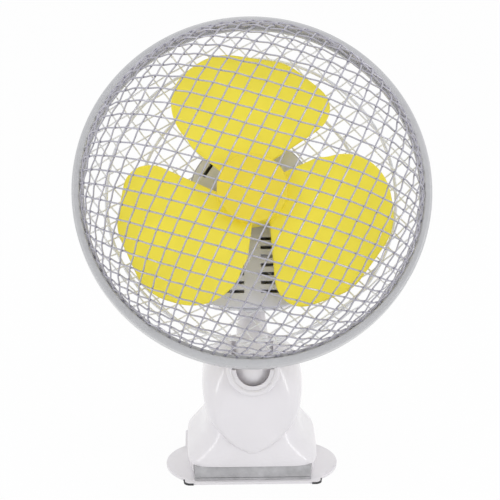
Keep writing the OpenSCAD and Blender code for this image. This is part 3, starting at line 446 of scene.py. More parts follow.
def turned(name, outline, segments, into=Matrix.Identity(4)):
    """A mesh made by turning a closed outline of (radius, height) round an axis."""
    count = len(outline)
    points = []
    for k in range(segments):
        angle = 2 * math.pi * k / segments
        points += [(r * math.cos(angle), r * math.sin(angle), z) for r, z in outline]
    faces = []
    for k in range(segments):
        near, far = k * count, (k + 1) % segments * count
        faces += [(near + j, far + j, far + (j + 1) % count, near + (j + 1) % count) for j in range(count)]
    mesh = mesh_from(name, points, faces, into)
    tidy_normals(mesh)
    return mesh


# ---------------------------------------------------------------- guard mesh

WIRE_D = 0.9 * MM
WIRE_SIDES = 8
PITCH = 8.4 * MM
DIR_A = math.radians(-16.4)
DIR_B = math.radians(63.2)
CROSSING = Vector((0.3 * MM, -6.1 * MM))
REAR_TURN = math.radians(-32)
LIP = 1.2 * MM
MESH_GAP = 0.1 * MM
RIM_T = 4.2 * MM
DOME_FLAT = 36 * MM
DOME_WALL = 0.8 * MM
BACK_R = 61.5 * MM
CORNER_R = 79 * MM
CORNER_DEPTH = 15 * MM
BACK_DEPTH = 22 * MM
WEAVE = 0.42 * MM
WEAVE_STEPS = 4
KNOT_R = 0.80 * MM
KNOT_SIDES = 6
KNOT_FLAT = 0.95
# Levels of a knot: share of its height, share of its radius
KNOT_LEVELS = ((-0.55, 0.83), (0.0, 1.0), (0.55, 0.83))
EDGE_SKIP = 6 * MM

MESH_R = RIM_R - RIM_T - WIRE_D - MESH_GAP
DOME_R = MESH_R - DOME_FLAT
WALL_TOP = LIP + MESH_GAP + WIRE_D / 2
DOME_TOP = WALL_TOP + DOME_WALL + DOME_R
DOME_ARC = DOME_R * math.pi / 2
DOME_LEN = DOME_FLAT + DOME_ARC + DOME_WALL
BACK_CORNERS = [(0.0, BACK_DEPTH), (BACK_R, BACK_DEPTH), (CORNER_R, CORNER_DEPTH), (MESH_R, WALL_TOP)]
BACK_STEPS = [math.dist(start, end) for start, end in zip(BACK_CORNERS, BACK_CORNERS[1:])]


def dome_at(s):
    """The front guard's section at a distance along it: radius, height and slope."""
    if s <= DOME_FLAT:
        return s, DOME_TOP, 0.0
    if s <= DOME_FLAT + DOME_ARC:
        a = (s - DOME_FLAT) / DOME_R
        return DOME_FLAT + DOME_R * math.sin(a), DOME_TOP - DOME_R + DOME_R * math.cos(a), a
    return MESH_R, DOME_TOP - DOME_R - (s - DOME_FLAT - DOME_ARC), math.pi / 2


def dish_at(s):
    """The rear guard's section at a distance along it, which is straight between its corners."""
    for k, step in enumerate(BACK_STEPS):
        if s <= step or k == len(BACK_STEPS) - 1:
            (r0, z0), (r1, z1) = BACK_CORNERS[k], BACK_CORNERS[k + 1]
            t = s / step
            return r0 + (r1 - r0) * t, z0 + (z1 - z0) * t, math.atan2(z0 - z1, r1 - r0)
        s -= step


def bent(flat, section):
    """A point of the flat mesh, bent onto the guard: the point and its outward direction."""
    s = flat.length
    u = flat / s if s > 0 else Vector((1, 0))
    radius, height, slope = section(s)
    point = Vector((u.x * radius, u.y * radius, height))
    normal = Vector((u.x * math.sin(slope), u.y * math.sin(slope), math.cos(slope)))
    return point, normal


def mesh_lines(way, side, edge, hole):
    """The straight lines of one family of wires: number, point, and from where to where."""
    count = math.ceil(2 * edge / PITCH)
    for i in range(-count, count + 1):
        start = CROSSING + i * side * PITCH
        middle = start.dot(way)
        off2 = start.length_squared - middle * middle
        if off2 >= (edge - EDGE_SKIP) ** 2:
            continue
        far = math.sqrt(edge * edge - off2)
        if off2 < hole * hole:
            near = math.sqrt(hole * hole - off2)
            yield i, start, -middle - far, -middle - near
            yield i, start, -middle + near, -middle + far
        else:
            yield i, start, -middle - far, -middle + far


def wire_tube(points, normals):
    """A round wire through points, with closed ends."""
    corners = []
    last = len(points) - 1
    for k, (point, normal) in enumerate(zip(points, normals)):
        along = (points[min(k + 1, last)] - points[max(k - 1, 0)]).normalized()
        u = along.cross(normal).normalized()
        v = u.cross(along)
        for c in range(WIRE_SIDES):
            angle = 2 * math.pi * c / WIRE_SIDES
            corners.append(point + WIRE_D / 2 * (math.cos(angle) * u + math.sin(angle) * v))
    return corners, tube_faces(len(points), WIRE_SIDES)


def knot(centre, normal):
    """A flattened bead of coating where two wires cross."""
    u = normal.orthogonal().normalized()
    v = normal.cross(u)
    corners, faces = [centre - normal * KNOT_R * KNOT_FLAT], []
    for height, share in KNOT_LEVELS:
        for c in range(KNOT_SIDES):
            angle = 2 * math.pi * c / KNOT_SIDES
            out = math.cos(angle) * u + math.sin(angle) * v
            corners.append(centre + KNOT_R * (share * out + KNOT_FLAT * height * normal))
    corners.append(centre + normal * KNOT_R * KNOT_FLAT)
    top = 1 + (len(KNOT_LEVELS) - 1) * KNOT_SIDES
    for c in range(KNOT_SIDES):
        n = (c + 1) % KNOT_SIDES
        faces.append((0, 1 + n, 1 + c))
        for a in range(1, top, KNOT_SIDES):
            faces.append((a + c, a + n, a + n + KNOT_SIDES, a + c + KNOT_SIDES))
        faces.append((top + c, top + n, top + KNOT_SIDES))
    return corners, faces


def woven(section, edge, hole, way_a, way_b):
    """All the wires and knots of one guard, woven over and under each other."""
    points, faces, on_knot = [], [], []

    def add(part, is_knot):
        corners, sides = part
        base = len(points)
        points.extend(corners)
        faces.extend(tuple(base + c for c in face) for face in sides)
        on_knot.extend([is_knot] * len(sides))

    step = PITCH / WEAVE_STEPS
    for way, side, sign in ((way_a, way_b, 1), (way_b, way_a, -1)):
        for i, start, first, last in mesh_lines(way, side, edge, hole):
            lowest = math.ceil((first + step / 2) / step)
            highest = math.floor((last - step / 2) / step)
            path, normals = [], []
            for t in (first, *(j * step for j in range(lowest, highest + 1)), last):
                point, normal = bent(start + t * way, section)
                lift = sign * WEAVE * math.cos(math.pi * (t / PITCH + i))
                path.append(point + lift * normal)
                normals.append(normal)
            add(wire_tube(path, normals), False)
    span = math.ceil(2 * edge / PITCH)
    for i in range(-span, span + 1):
        for j in range(-span, span + 1):
            flat = CROSSING + i * PITCH * way_a + j * PITCH * way_b
            if hole + KNOT_R < flat.length < edge - KNOT_R:
                add(knot(*bent(flat, section)), True)
    return points, faces, on_knot


def guard_mesh(name, nodes, into, weave, coats):
    """One guard's mesh as a piece, with one coat on its wires and one on its knots; on the front guard the
    knots' darker coat is painted shade.
    """
    points, faces, on_knot = weave
    piece = link(name, mesh_from(name, points, faces, into), nodes)
    piece.data.materials.clear()
    for coat in coats:
        piece.data.materials.append(coat)
    for polygon, is_knot in zip(piece.data.polygons, on_knot):
        polygon.material_index = int(is_knot)


def make_front_mesh():
    weave = woven(dome_at, DOME_LEN, 0, heading(DIR_A), heading(DIR_B))
    # The front knots take the darker coat: painted shade.
    coats = (materials["wire_coating"], knot_shade_coating)
    guard_mesh("front_guard_mesh", ["front_mesh_falling", "front_mesh_rising"], RIM, weave, coats)


def make_rear_mesh():
    hole = reach("rear_hub_ring", FAN)[0] + MESH_GAP
    ways = heading(-DIR_A - REAR_TURN), heading(-DIR_B - REAR_TURN)
    weave = woven(dish_at, sum(BACK_STEPS), hole, *ways)
    # Both rear coats are the lighter copy: painted light.
    coats = (lit_pale_coating, lit_pale_coating)
    guard_mesh("rear_guard_mesh", ["rear_mesh_falling", "rear_mesh_rising"], REAR_RIM, weave, coats)


# ---------------------------------------------------------------- guard rims

LIP_REACH = 2.4 * MM
LIP_ROUND = 0.3 * MM
RIM_ROUND = 2.2 * MM
RIM_FOOT_ROUND = 0.8 * MM
RIM_SEGMENTS = 240
SEAM = 0.45 * MM
SEAM_ROUNDS = (0.05 * MM, 0.2 * MM)


def make_rims():
    """The guard's two rims, which leave a fine groove where they meet."""
    inner = RIM_R - RIM_T
    outline = rounded([
        (inner - LIP_REACH, 0.0, LIP_ROUND),
        (RIM_R - SEAM, 0.0, SEAM_ROUNDS[0]),
        (RIM_R, SEAM, SEAM_ROUNDS[1]),
        (RIM_R, RIM_HALF, RIM_ROUND),
        (inner, RIM_HALF, RIM_FOOT_ROUND),
        (inner, LIP, LIP_ROUND),
        (inner - LIP_REACH, LIP, LIP_ROUND),
    ], steps=6)
    link("front_rim_band", turned("front_rim_band", outline, RIM_SEGMENTS, RIM), ["front_rim"])
    link("rear_rim_band", turned("rear_rim_band", outline, RIM_SEGMENTS, REAR_RIM), ["rear_rim"])


# ---------------------------------------------------------------- rounded bodies

BASE_Z = 10.5 * MM
BODY_H = 41 * MM
BODY_SIZE = (37.4 * MM, 34.3 * MM, 33.7 * MM)
COVER_TIP = 19.5 * MM
COVER_TOP = 81.5 * MM
COVER_SIZE = (28.2 * MM, 37.2 * MM, 24.7 * MM)
BODY_STEPS = 4
COVER_STEPS = 6
COLUMNS = 128
FINE_STEPS = 16
TINY = 1e-9

# Levels of the body and of the cover, from the lowest one up: share of the height, how many mm the half
# width, the front and the rear stay inside the full size, and how square the level is
BODY_ROWS = (
    (0.000, 0.8, 0.9, 2.0, 6.5), (0.050, 0.4, 0.4, 0.8, 5.8), (0.110, 1.8, 0.1, 0.2, 5.2),
    (0.180, 4.0, 0.0, 0.0, 4.6), (0.330, 8.2, 0.2, 0.3, 3.8), (0.475, 10.2, 1.0, 3.0, 3.4),
    (0.560, 11.1, 1.9, 5.0, 3.2), (0.645, 12.0, 3.0, 7.5, 2.9), (0.745, 13.6, 5.0, 11.0, 2.6),
    (0.865, 16.2, 8.5, 15.5, 2.4), (0.950, 20.4, 13.0, 20.5, 2.3), (1.000, 25.0, 17.0, 27.0, 2.2),
)
COVER_ROWS = (
    (0.000, 24.5, 2.4, 0.0, 7.0), (0.027, 21.7, 1.9, 0.0, 7.0), (0.048, 18.7, 1.6, 0.0, 7.0),
    (0.095, 14.0, 1.2, 0.0, 7.0), (0.169, 9.6, 0.8, 0.0, 7.0), (0.234, 6.2, 0.5, 0.0, 6.7),
    (0.298, 3.4, 0.3, 0.0, 6.3), (0.363, 1.7, 0.1, 0.0, 5.5), (0.424, 0.8, 0.0, 0.2, 4.9),
    (0.494, 0.2, 0.1, 1.3, 4.2), (0.553, 0.0, 0.3, 2.3, 3.7), (0.644, 0.4, 0.8, 4.6, 3.3),
    (0.761, 2.4, 2.7, 9.5, 2.8), (0.861, 6.0, 6.2, 15.2, 2.6), (0.940, 11.4, 11.4, 21.3, 2.4),
    (0.985, 17.5, 17.5, 27.0, 2.3), (1.000, 23.2, 23.0, 31.0, 2.2),
)


def body_row(z, size, insets, wall, square):
    """One level of a rounded body: its height, half width, front, rear and squareness."""
    return [z, *(full - (inset * MM + wall) for full, inset in zip(size, insets)), square]


def body_rows(wall, sink=0.0):
    """The body's levels, a wall further in, with the lowest one sunk below the body's foot."""
    rows = []
    for k, (share, *insets, square) in enumerate(BODY_ROWS):
        z = BASE_Z + BODY_H * share
        z = z - sink if k == 0 else max(z - wall * share, BASE_Z)
        rows.append(body_row(z, BODY_SIZE, insets, wall, square))
    return rows


def cover_rows(wall):
    """The cover's levels, a wall further in."""
    rows = []
    for share, *insets, square in COVER_ROWS:
        z = COVER_TIP + (COVER_TOP - COVER_TIP) * share - wall * (share - 0.5) * 2
        rows.append(body_row(z, COVER_SIZE, insets, wall, square))
    return rows


def between(rows, steps):
    """The rows with smooth rows between them."""
    smoothed = []
    last = len(rows) - 1
    for k in range(last):
        around = rows[max(k - 1, 0)], rows[k], rows[k + 1], rows[min(k + 2, last)]
        for j in range(steps):
            t = j / steps
            smoothed.append([
                0.5 * (2 * b + (c - a) * t + (2 * a - 5 * b + 4 * c - d) * t * t
                       + (3 * b - a - 3 * c + d) * t ** 3)
                for a, b, c, d in zip(*around)
            ])
    smoothed.append(list(rows[-1]))
    return smoothed


def quarter(square, count):
    """Evenly spaced points on a quarter of a rounded square of size one."""
    fine = FINE_STEPS * count
    dense = [
        (math.cos(a) ** (2 / square), math.sin(a) ** (2 / square))
        for a in (math.pi / 2 * min(max(k / fine, TINY), 1 - TINY) for k in range(fine + 1))
    ]
    run = [0.0]
    for k in range(fine):
        run.append(run[-1] + math.dist(dense[k], dense[k + 1]))
    points, k = [], 0
    for j in range(count):
        want = run[-1] * j / count
        while run[k + 1] < want:
            k += 1
        t = (want - run[k]) / (run[k + 1] - run[k])
        points.append(tuple(a + (b - a) * t for a, b in zip(dense[k], dense[k + 1])))
    return points


def slice_points(row):
    """The points round one level of a rounded body."""
    z, half, front, rear, square = row
    first = quarter(square, COLUMNS // 4)
    second = [(-x, y) for x, y in reversed(first[1:] + [(0.0, 1.0)])]
    half_round = first + second
    unit = half_round + [(-x, -y) for x, y in half_round]
    return [(half * x, (rear - front) / 2 + (rear + front) / 2 * y, z) for x, y in unit]


def loft(rows):
    """A closed rounded body through its levels."""
    return closed([slice_points(row) for row in between(rows, BODY_STEPS)])


def inside(rows, point):
    """Whether a point lies inside the body that the rows describe."""
    x, y, z = point
    if z >= rows[-1][0]:
        return False
    if z <= rows[0][0]:
        here = rows[0]
    else:
        k = max(j for j, row in enumerate(rows) if row[0] <= z)
        t = (z - rows[k][0]) / max(rows[k + 1][0] - rows[k][0], TINY)
        here = [a + (b - a) * t for a, b in zip(rows[k], rows[k + 1])]
    _, half, front, rear, square = here
    middle, length = (rear - front) / 2, (rear + front) / 2
    return abs(x / half) ** square + abs((y - middle) / length) ** square < 1


# ---------------------------------------------------------------- cover

WALL = 2.2 * MM
COVER_LEVELS = 44
HALVINGS = 24
EDGE_ROUND = 0.5 * MM
EDGE_CLEAR = 1.4 * EDGE_ROUND
EDGE_TURNS = [math.radians(a) for a in (22, 45, 68, 90)]
SLOT_HALF = 11.6 * MM
SLOT_RISE = 4.3 * MM
# The neck's two furthest tilts from upright, with 2 degrees to spare
SLOT_TILTS = (0.0, math.radians(54))
SLOT_FAR = 40 * MM
SLOT_FAR_MIDDLE = 1.3 * SLOT_FAR
MOUTH_REACH = 30 * MM
# Two corners of the box, inside the cover, that the slot's walls fill
WELL = ((-13.6 * MM, -40 * MM, 54 * MM), (13.6 * MM, 18 * MM, 90 * MM))
WELL_INSET = 0.4 * MM


def column_point(levels, k, place):
    """The point of one column at a place that is counted in levels."""
    j = min(int(place), len(levels) - 2)
    return Vector(levels[j][k]).lerp(Vector(levels[j + 1][k]), place - j)


def seam_place(body, levels, k):
    """Where one column of the cover comes out of the body, counted in levels."""
    low, high = 0.0, float(len(levels) - 1)
    if not inside(body, levels[0][k]):
        return low
    for _ in range(HALVINGS):
        middle = (low + high) / 2
        if inside(body, column_point(levels, k, middle)):
            low = middle
        else:
            high = middle
    return high


def cover_column(body, outer, inner, k):
    """One column of the cover: up its outside from the seam, round its lower edge, and up its inside."""
    last = len(outer) - 1
    seam = seam_place(body, outer, k)
    places = [seam + (last - seam) * (j / COVER_LEVELS) for j in range(COVER_LEVELS + 1)]
    outside = [column_point(outer, k, place) for place in places]
    within = [column_point(inner, k, place) for place in places]
    foot = outside[0]
    up = (outside[1] - foot).normalized()
    inward = within[0] - foot
    inward = (inward - inward.dot(up) * up).normalized()
    start = foot + EDGE_ROUND * up
    above = [p for p in outside[1:] if (p - foot).dot(up) > EDGE_CLEAR]
    spare = COVER_LEVELS - len(above)
    filler = [start.lerp(above[0], (i + 1) / (spare + 1)) for i in range(spare)]
    edge = [foot + EDGE_ROUND * ((1 - math.cos(a)) * inward + (1 - math.sin(a)) * up) for a in EDGE_TURNS]
    return [start, *filler, *above], edge, within


def cover_levels():
    """The cover's levels: down its outside to where it meets the body, round its edge, and up its inside."""
    body = between(body_rows(0.0), BODY_STEPS)
    outer = [slice_points(row) for row in between(cover_rows(0.0), COVER_STEPS)]
    inner = [slice_points(row) for row in between(cover_rows(WALL), COVER_STEPS)]
    columns = [cover_column(body, outer, inner, k) for k in range(COLUMNS)]
    outside, edge, within = (list(zip(*part)) for part in zip(*columns))
    return outside[::-1] + edge + within


def slot_wedge():
    """The room that the neck sweeps through between its two furthest tilts."""
    sides = []
    for tilt, side in zip(SLOT_TILTS, (-1, 1)):
        near = side * SLOT_HALF * Vector((math.cos(tilt), -math.sin(tilt)))
        sides.append((near, near + SLOT_FAR * Vector((math.sin(tilt), math.cos(tilt)))))
    (near_front, far_front), (near_rear, far_rear) = sides
    middle = sum(SLOT_TILTS) / 2
    furthest = SLOT_FAR_MIDDLE * Vector((math.sin(middle), math.cos(middle)))
    outline = [Vector((0, 0)), near_front, far_front, furthest, far_rear, near_rear]
    across = space(PIVOT - SLOT_HALF * AXIS_X, AXIS_Y, AXIS_Z, AXIS_X)
    return prism([tuple(p) for p in outline], 2 * SLOT_HALF, across)


def slot_mouth():
    """The slot's mouth in the cover's front, round below and open above."""
    outline = arc_points(SLOT_HALF, -180, 0, 32) + [(SLOT_HALF, MOUTH_REACH), (-SLOT_HALF, MOUTH_REACH)]
    origin = PIVOT + Vector((0, -MOUTH_REACH, SLOT_RISE))
    return prism(outline, MOUTH_REACH, space(origin, AXIS_X, AXIS_Z, AXIS_Y))


def ball_room():
    """The room round the neck's ball."""
    ball = bmesh.new()
    bmesh.ops.create_uvsphere(ball, u_segments=64, v_segments=32, radius=SLOT_HALF)
    mesh = bpy.data.meshes.new("ball_room")
    ball.to_mesh(mesh)
    ball.free()
    mesh.transform(Matrix.Translation(PIVOT))
    return mesh


def make_cover():
    """The cover: a shell with the slot's walls inside it, and the room that the neck needs."""
    mesh = closed(cover_levels())
    well = combine(loft(cover_rows(WELL_INSET)), box_mesh(*WELL), "INTERSECT")
    mesh = combine(mesh, well, "UNION")
    for cutter in (slot_wedge(), slot_mouth(), ball_room()):
        mesh = combine(mesh, cutter, "DIFFERENCE")
    link("base_cover_shell", smooth(mesh), ["base_cover"])


# ---------------------------------------------------------------- base body

SKIRT_LOW = 2.3 * MM
SKIRT_LEAN = 2 * MM
SKIRT_INNER = 33.4 * MM
SKIRT_REAR = 7.2 * MM
PAST_BASE = 50 * MM
OVERLAP = 0.01 * MM
CAVITY_SINK = 1 * MM
# How far inside its piece's box each opening of the rear wall stays
OPENINGS = {"switch_frame": 1 * MM, "charging_socket": -0.1 * MM}
OPENING_FRONT = 2 * MM
OPENING_REAR = 9 * MM


def skirts():
    """The body's two side skirts, which lean in and close the clamp's throat at its ends."""
    foot = body_rows(0.0)[0]
    lean = [SKIRT_LOW, foot[1] - SKIRT_LEAN, foot[2] - SKIRT_LEAN, foot[3], foot[4]]
    mesh = closed([slice_points(lean), slice_points([BASE_Z + OVERLAP, *foot[1:]])])
    top = BASE_Z - OVERLAP
    throat = box_mesh((-SKIRT_INNER, -PAST_BASE, 0), (SKIRT_INNER, PAST_BASE, top))
    behind = box_mesh((-PAST_BASE, SKIRT_REAR, 0), (PAST_BASE, PAST_BASE, top))
    for cutter in (throat, behind):
        mesh = combine(mesh, cutter, "DIFFERENCE")
    return mesh


def make_body():
    """The base's hollow body, with openings for the switch and the charging socket."""
    mesh = combine(loft(body_rows(0.0)), skirts(), "UNION")
    mesh = combine(mesh, loft(body_rows(WALL, CAVITY_SINK)), "DIFFERENCE")
    for node, inset in OPENINGS.items():
        low, high = (Vector(corner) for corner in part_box(node))
        start = (low.x + inset, low.y - OPENING_FRONT, low.z + inset)
        end = (high.x - inset, high.y + OPENING_REAR, high.z - inset)
        mesh = combine(mesh, box_mesh(start, end), "DIFFERENCE")
    link("base_body_shell", smooth(mesh), ["base_body"])


# ---------------------------------------------------------------- neck and collar

NECK_R1 = 11.0 * MM
NECK_R2 = 7.2 * MM
NECK_START = 1 * MM
NECK_LEN = 33.5 * MM
NECK_TOP_ROUND = 1.2 * MM
NECK_SEGMENTS = 96
BALL_R = 11.2 * MM
SPIGOT_R = 5.5 * MM
SPIGOT_LEN = 20 * MM
SPIGOT_ROUND = 0.6 * MM
NECK_BORE_R = 2.4 * MM
BEAD_R = 1.7 * MM
BEAD_LEAN = math.radians(14)
BEAD_AHEAD = 2.4 * MM
BEAD_END = 7 * MM
BEAD_BACK = 3 * MM
BEAD_FOOT_SHARE = 0.8
BEAD_STEPS = 48
# The bead's rounded tips: share of its radius above its straight part, share of its full section
BEAD_TIP = ((1.0, 0.12), (0.92, 0.4), (0.7, 0.72), (0.38, 0.93))
WEB_R = 9.4 * MM
WEB_T = 1.2 * MM
WEB_OVERLAP = 0.6 * MM
WEB_ROUND = 0.4 * MM


def make_neck():
    """The neck: a ball, a cone up to its shoulder, and the bored spigot that the head turns on."""
    top = NECK_LEN + SPIGOT_LEN
    outline = arc_points(BALL_R, -90, 0, 20) + rounded([
        (NECK_R1, NECK_START, 0),
        (NECK_R2, NECK_LEN, NECK_TOP_ROUND),
        (SPIGOT_R, NECK_LEN, 0),
        (SPIGOT_R, top, SPIGOT_ROUND),
        (NECK_BORE_R, top, 0),
        (NECK_BORE_R, BALL_R, 0),
        (0, BALL_R, 0),
    ])
    link("neck_moulding", turned("neck_moulding", outline, NECK_SEGMENTS, NECK), ["neck"])


def bead_places():
    """The bead's path round the slot's lower end: a point, two directions and a share of full size."""
    at = SLOT_HALF + BEAD_R
    rises = [(BEAD_END + rise * BEAD_R, share) for rise, share in BEAD_TIP]
    rises += [(BEAD_END, 1.0), (BEAD_END / 2, 1.0)]

    def straight(side):
        return [(Vector((side * at, 0, rise)), side * AXIS_X, -AXIS_Y, share) for rise, share in rises]

    bend = []
    for k in range(BEAD_STEPS + 1):
        angle = math.pi + math.pi * k / BEAD_STEPS
        outward = Vector((math.cos(angle), 0, math.sin(angle)))
        bend.append((at * outward, outward, -AXIS_Y, 1.0))
    return straight(-1) + bend + straight(1)[::-1]


def collar_web(into):
    """The collar's thin inner rim, which covers the groove under the neck's ball."""
    outline = arc_points(SLOT_HALF + WEB_OVERLAP, 180, 360, 40) + arc_points(WEB_R, 360, 180, 40)
    upright = space(WEB_T / 2 * AXIS_Y, AXIS_X, AXIS_Z, -AXIS_Y)
    web = prism(outline, WEB_T, into @ upright)
    return with_modifier(smooth(web), bevel(WEB_ROUND, 3))


def make_collar():
    """The rounded bead round the lower end of the neck's slot, with its inner rim."""
    origin = Vector((PIVOT.x, -COVER_SIZE[1] + BEAD_AHEAD, PIVOT.z + SLOT_RISE))
    into = Matrix.Translation(origin) @ Matrix.Rotation(-BEAD_LEAN, 4, "X")
    section = arc_points(BEAD_R, -62, 242, 22)
    section += [(-BEAD_FOOT_SHARE * BEAD_R, -BEAD_BACK), (BEAD_FOOT_SHARE * BEAD_R, -BEAD_BACK)]
    places = bead_places()
    points = [
        centre + share * (u * outward + v * ahead)
        for centre, outward, ahead, share in places
        for u, v in section
    ]
    mesh = mesh_from("neck_collar_bead", points, tube_faces(len(places), len(section)), into)
    tidy_normals(mesh)
    mesh = combine(mesh, collar_web(into), "UNION")
    link("neck_collar_bead", smooth(mesh), ["neck_collar"])


# ---------------------------------------------------------------- propeller

HUB_R = 19.3 * MM
HUB_FRONT = 4 * MM
HUB_BACK = 10 * MM
HUB_WALL = 2 * MM
HUB_ROUND = 1.1 * MM
HUB_INNER_ROUND = 0.8 * MM
HUB_BACK_ROUND = 0.3 * MM
HUB_BOSS_R = 4 * MM
HUB_SEGMENTS = 144
SHAFT_R = 1.2 * MM
SHAFT_END = 3 * MM
HOLLOW_SEGMENTS = 96
HOLLOW_LEN = 60 * MM
PROP_AHEAD = 2.5 * MM
BLADE_T = 1.6 * MM
BLADE_CAMBER = 200 * MM
BLADE_PITCH = math.radians(10)
BLADE_SET = 5.4 * MM
BLADE_TURN = math.radians(-25)
BLADE_COUNT = 3
BLADE_CENTRE = Vector((44 * MM, -3 * MM))
# Circles that the blade's outline wraps, as X, Y and radius, and the corners of its root, all in mm
BLADE_LOBES = ((50.2, 7, 28.2), (48, 13.2, 26.4), (50, -15, 24), (45, -34.3, 13.8))
BLADE_ROOT = ((8, 12.2), (26.5, 31.7), (50, 0), (34.7, -45.2), (13, -6.7))
LOBE_STEPS = 60
BLADE_SPOKES = 120
BLADE_SOFTENINGS = 2
# Rings of a blade, from its edge inwards: share of the way out, share of the full thickness
BLADE_RINGS = (
    (1.0, 0.0), (0.996, 0.42), (0.988, 0.7), (0.976, 0.9), (0.955, 1.0),
    (0.87, 1.0), (0.74, 1.0), (0.58, 1.0), (0.4, 1.0), (0.2, 1.0),
)
PARALLEL = 1e-12


def ray_reach(way, outline):
    """How far a ray from the blade's centre goes before it leaves an outline for the last time."""
    far = 0.0
    for k, end in enumerate(outline):
        a, b = outline[k - 1] - BLADE_CENTRE, end - BLADE_CENTRE
        edge = b - a
        cross = way.x * edge.y - way.y * edge.x
        if abs(cross) < PARALLEL:
            continue
        distance = (a.x * edge.y - a.y * edge.x) / cross
        along = (a.x * way.y - a.y * way.x) / cross
        if 0 <= along <= 1:
            far = max(far, distance)
    return far


def blade_outline():
    """The blade's outline as seen along the shaft, from its centre."""
    circles = [
        Vector((x, y)) * MM + radius * MM * heading(2 * math.pi * k / LOBE_STEPS)
        for x, y, radius in BLADE_LOBES
        for k in range(LOBE_STEPS)
    ]
    lobe = [circles[k] for k in convex_hull_2d(circles)]
    root = [Vector(p) * MM for p in BLADE_ROOT]
    ways = [heading(2 * math.pi * k / BLADE_SPOKES) for k in range(BLADE_SPOKES)]
    reaches = [max(ray_reach(way, lobe), ray_reach(way, root)) for way in ways]
    for _ in range(BLADE_SOFTENINGS):
        reaches = [
            0.25 * reaches[k - 1] + 0.5 * reaches[k] + 0.25 * reaches[(k + 1) % BLADE_SPOKES]
            for k in range(BLADE_SPOKES)
        ]
    return [way * far for way, far in zip(ways, reaches)]


def on_blade(flat, lift):
    """A point of the blade, at a height above the middle of its thickness."""
    centre_y = -BLADE_CAMBER * math.sin(BLADE_PITCH)
    centre_z = BLADE_CAMBER * math.cos(BLADE_PITCH) - BLADE_SET
    drop = math.sqrt(BLADE_CAMBER ** 2 - (flat.y - centre_y) ** 2)
    normal = Vector((0, centre_y - flat.y, drop)) / BLADE_CAMBER
    return Vector((flat.x, flat.y, centre_z - drop)) + lift * normal


def blade_mesh(turn):
    """One blade, turned about the shaft."""
    outline = blade_outline()
    half = BLADE_T / 2
    rings = [(share, thick * half) for share, thick in reversed(BLADE_RINGS)]
    rings += [(share, -thick * half) for share, thick in BLADE_RINGS[1:]]
    levels = [[on_blade(BLADE_CENTRE + share * p, lift) for p in outline] for share, lift in rings]
    mesh = closed(levels)
    mesh.transform(Matrix.Rotation(turn, 4, "Z"))
    return mesh


def hub_mesh():
    """The hub: a cap with a boss inside it that holds the shaft."""
    roof = HUB_FRONT - HUB_WALL
    outline = rounded([
        (0, HUB_FRONT, 0),
        (0, SHAFT_END, 0),
        (SHAFT_R, SHAFT_END, 0),
        (SHAFT_R, -HUB_BACK, HUB_BACK_ROUND),
        (HUB_BOSS_R, -HUB_BACK, HUB_BACK_ROUND),
        (HUB_BOSS_R, roof, HUB_INNER_ROUND),
        (HUB_R - HUB_WALL, roof, HUB_INNER_ROUND),
        (HUB_R - HUB_WALL, -HUB_BACK, HUB_BACK_ROUND),
        (HUB_R, -HUB_BACK, HUB_BACK_ROUND),
        (HUB_R, HUB_FRONT, HUB_ROUND),
    ], steps=6)
    return turned("hub", outline, HUB_SEGMENTS)


def make_propeller():
    """The propeller: the hub with its blades, which end inside the hub's wall."""
    mesh = hub_mesh()
    circle = [
        tuple((HUB_R - HUB_WALL / 2) * heading(2 * math.pi * k / HOLLOW_SEGMENTS))
        for k in range(HOLLOW_SEGMENTS)
    ]
    hollow = prism(circle, HOLLOW_LEN, Matrix.Translation((0, 0, -HOLLOW_LEN / 2)))
    for k in range(BLADE_COUNT):
        turn = BLADE_TURN + 2 * math.pi * k / BLADE_COUNT
        mesh = combine(mesh, combine(blade_mesh(turn), hollow, "DIFFERENCE"), "UNION")
    on_hub = [math.hypot(p.center.x, p.center.y) < HUB_R and p.center.z > 0 for p in mesh.polygons]
    mesh.transform(RIM @ Matrix.Translation((0, 0, PROP_AHEAD)))
    piece = link("propeller_moulding", smooth(mesh), ["propeller"])
    # The hub's front faces take the darker yellow: painted shade.
    piece.data.materials.append(hub_shade_yellow)
    for polygon, is_hub in zip(piece.data.polygons, on_hub):
        polygon.material_index = int(is_hub)


# ---------------------------------------------------------------- the pieces

# CAD nodes that only get their edges rounded, with the width of the rounding in mm
EDGE_WIDTHS = {
    "foot_plate": 0.35, "foot_bumpers": 0.15, "lower_jaw_pad": 0.4, "upper_jaw_pad": 0.4,
    "base_floor": 0.3, "charging_socket": 0.3, "switch_frame": 0.3, "switch_rocker": 0.25,
    "motor_grille": 0.3, "motor_housing": 0.5, "tilt_bracket": 0.3, "rear_hub_ring": 0.3,
}

make_cover()
make_body()
make_neck()
make_collar()
make_propeller()
make_front_mesh()
make_rear_mesh()
make_rims()
for node, width in EDGE_WIDTHS.items():
    dress(node, width * MM)


# ---------------------------------------------------------------- camera, light and floor

VIEW_DISTANCE = 1.0
VIEW_TARGET = Vector((-0.0006, 0.0067, 0.126))
VIEW_RISE = math.radians(20)
VIEW_TURN = math.radians(-1.5)
FOCAL_PIXELS = 1776
PHOTO_PIXELS = 500
SENSOR = 36.0
NEAREST = 0.01
ROOM_COLOUR = (0.97, 0.98, 1.0, 1)
ROOM_STRENGTH = 0.84
BACKGROUND = (1, 1, 1, 1)
FLOOR_HALF = 6.0
FLOOR_COLOUR = (0.9, 0.9, 0.9, 1)
FLOOR_ROUGHNESS = 0.9
FLOOR_GLOW = 0.95
# Each lamp's place, its width and height, and its power in watts
LAMPS = {
    "key_right": ((0.80, -0.55, 0.35), (0.14, 0.9), 2.1),
    "fill_left": ((-0.85, -0.50, 0.35), (0.14, 0.9), 1.7),
    "top": ((0.0, 0.10, 1.0), (0.6, 0.6), 1.0),
}


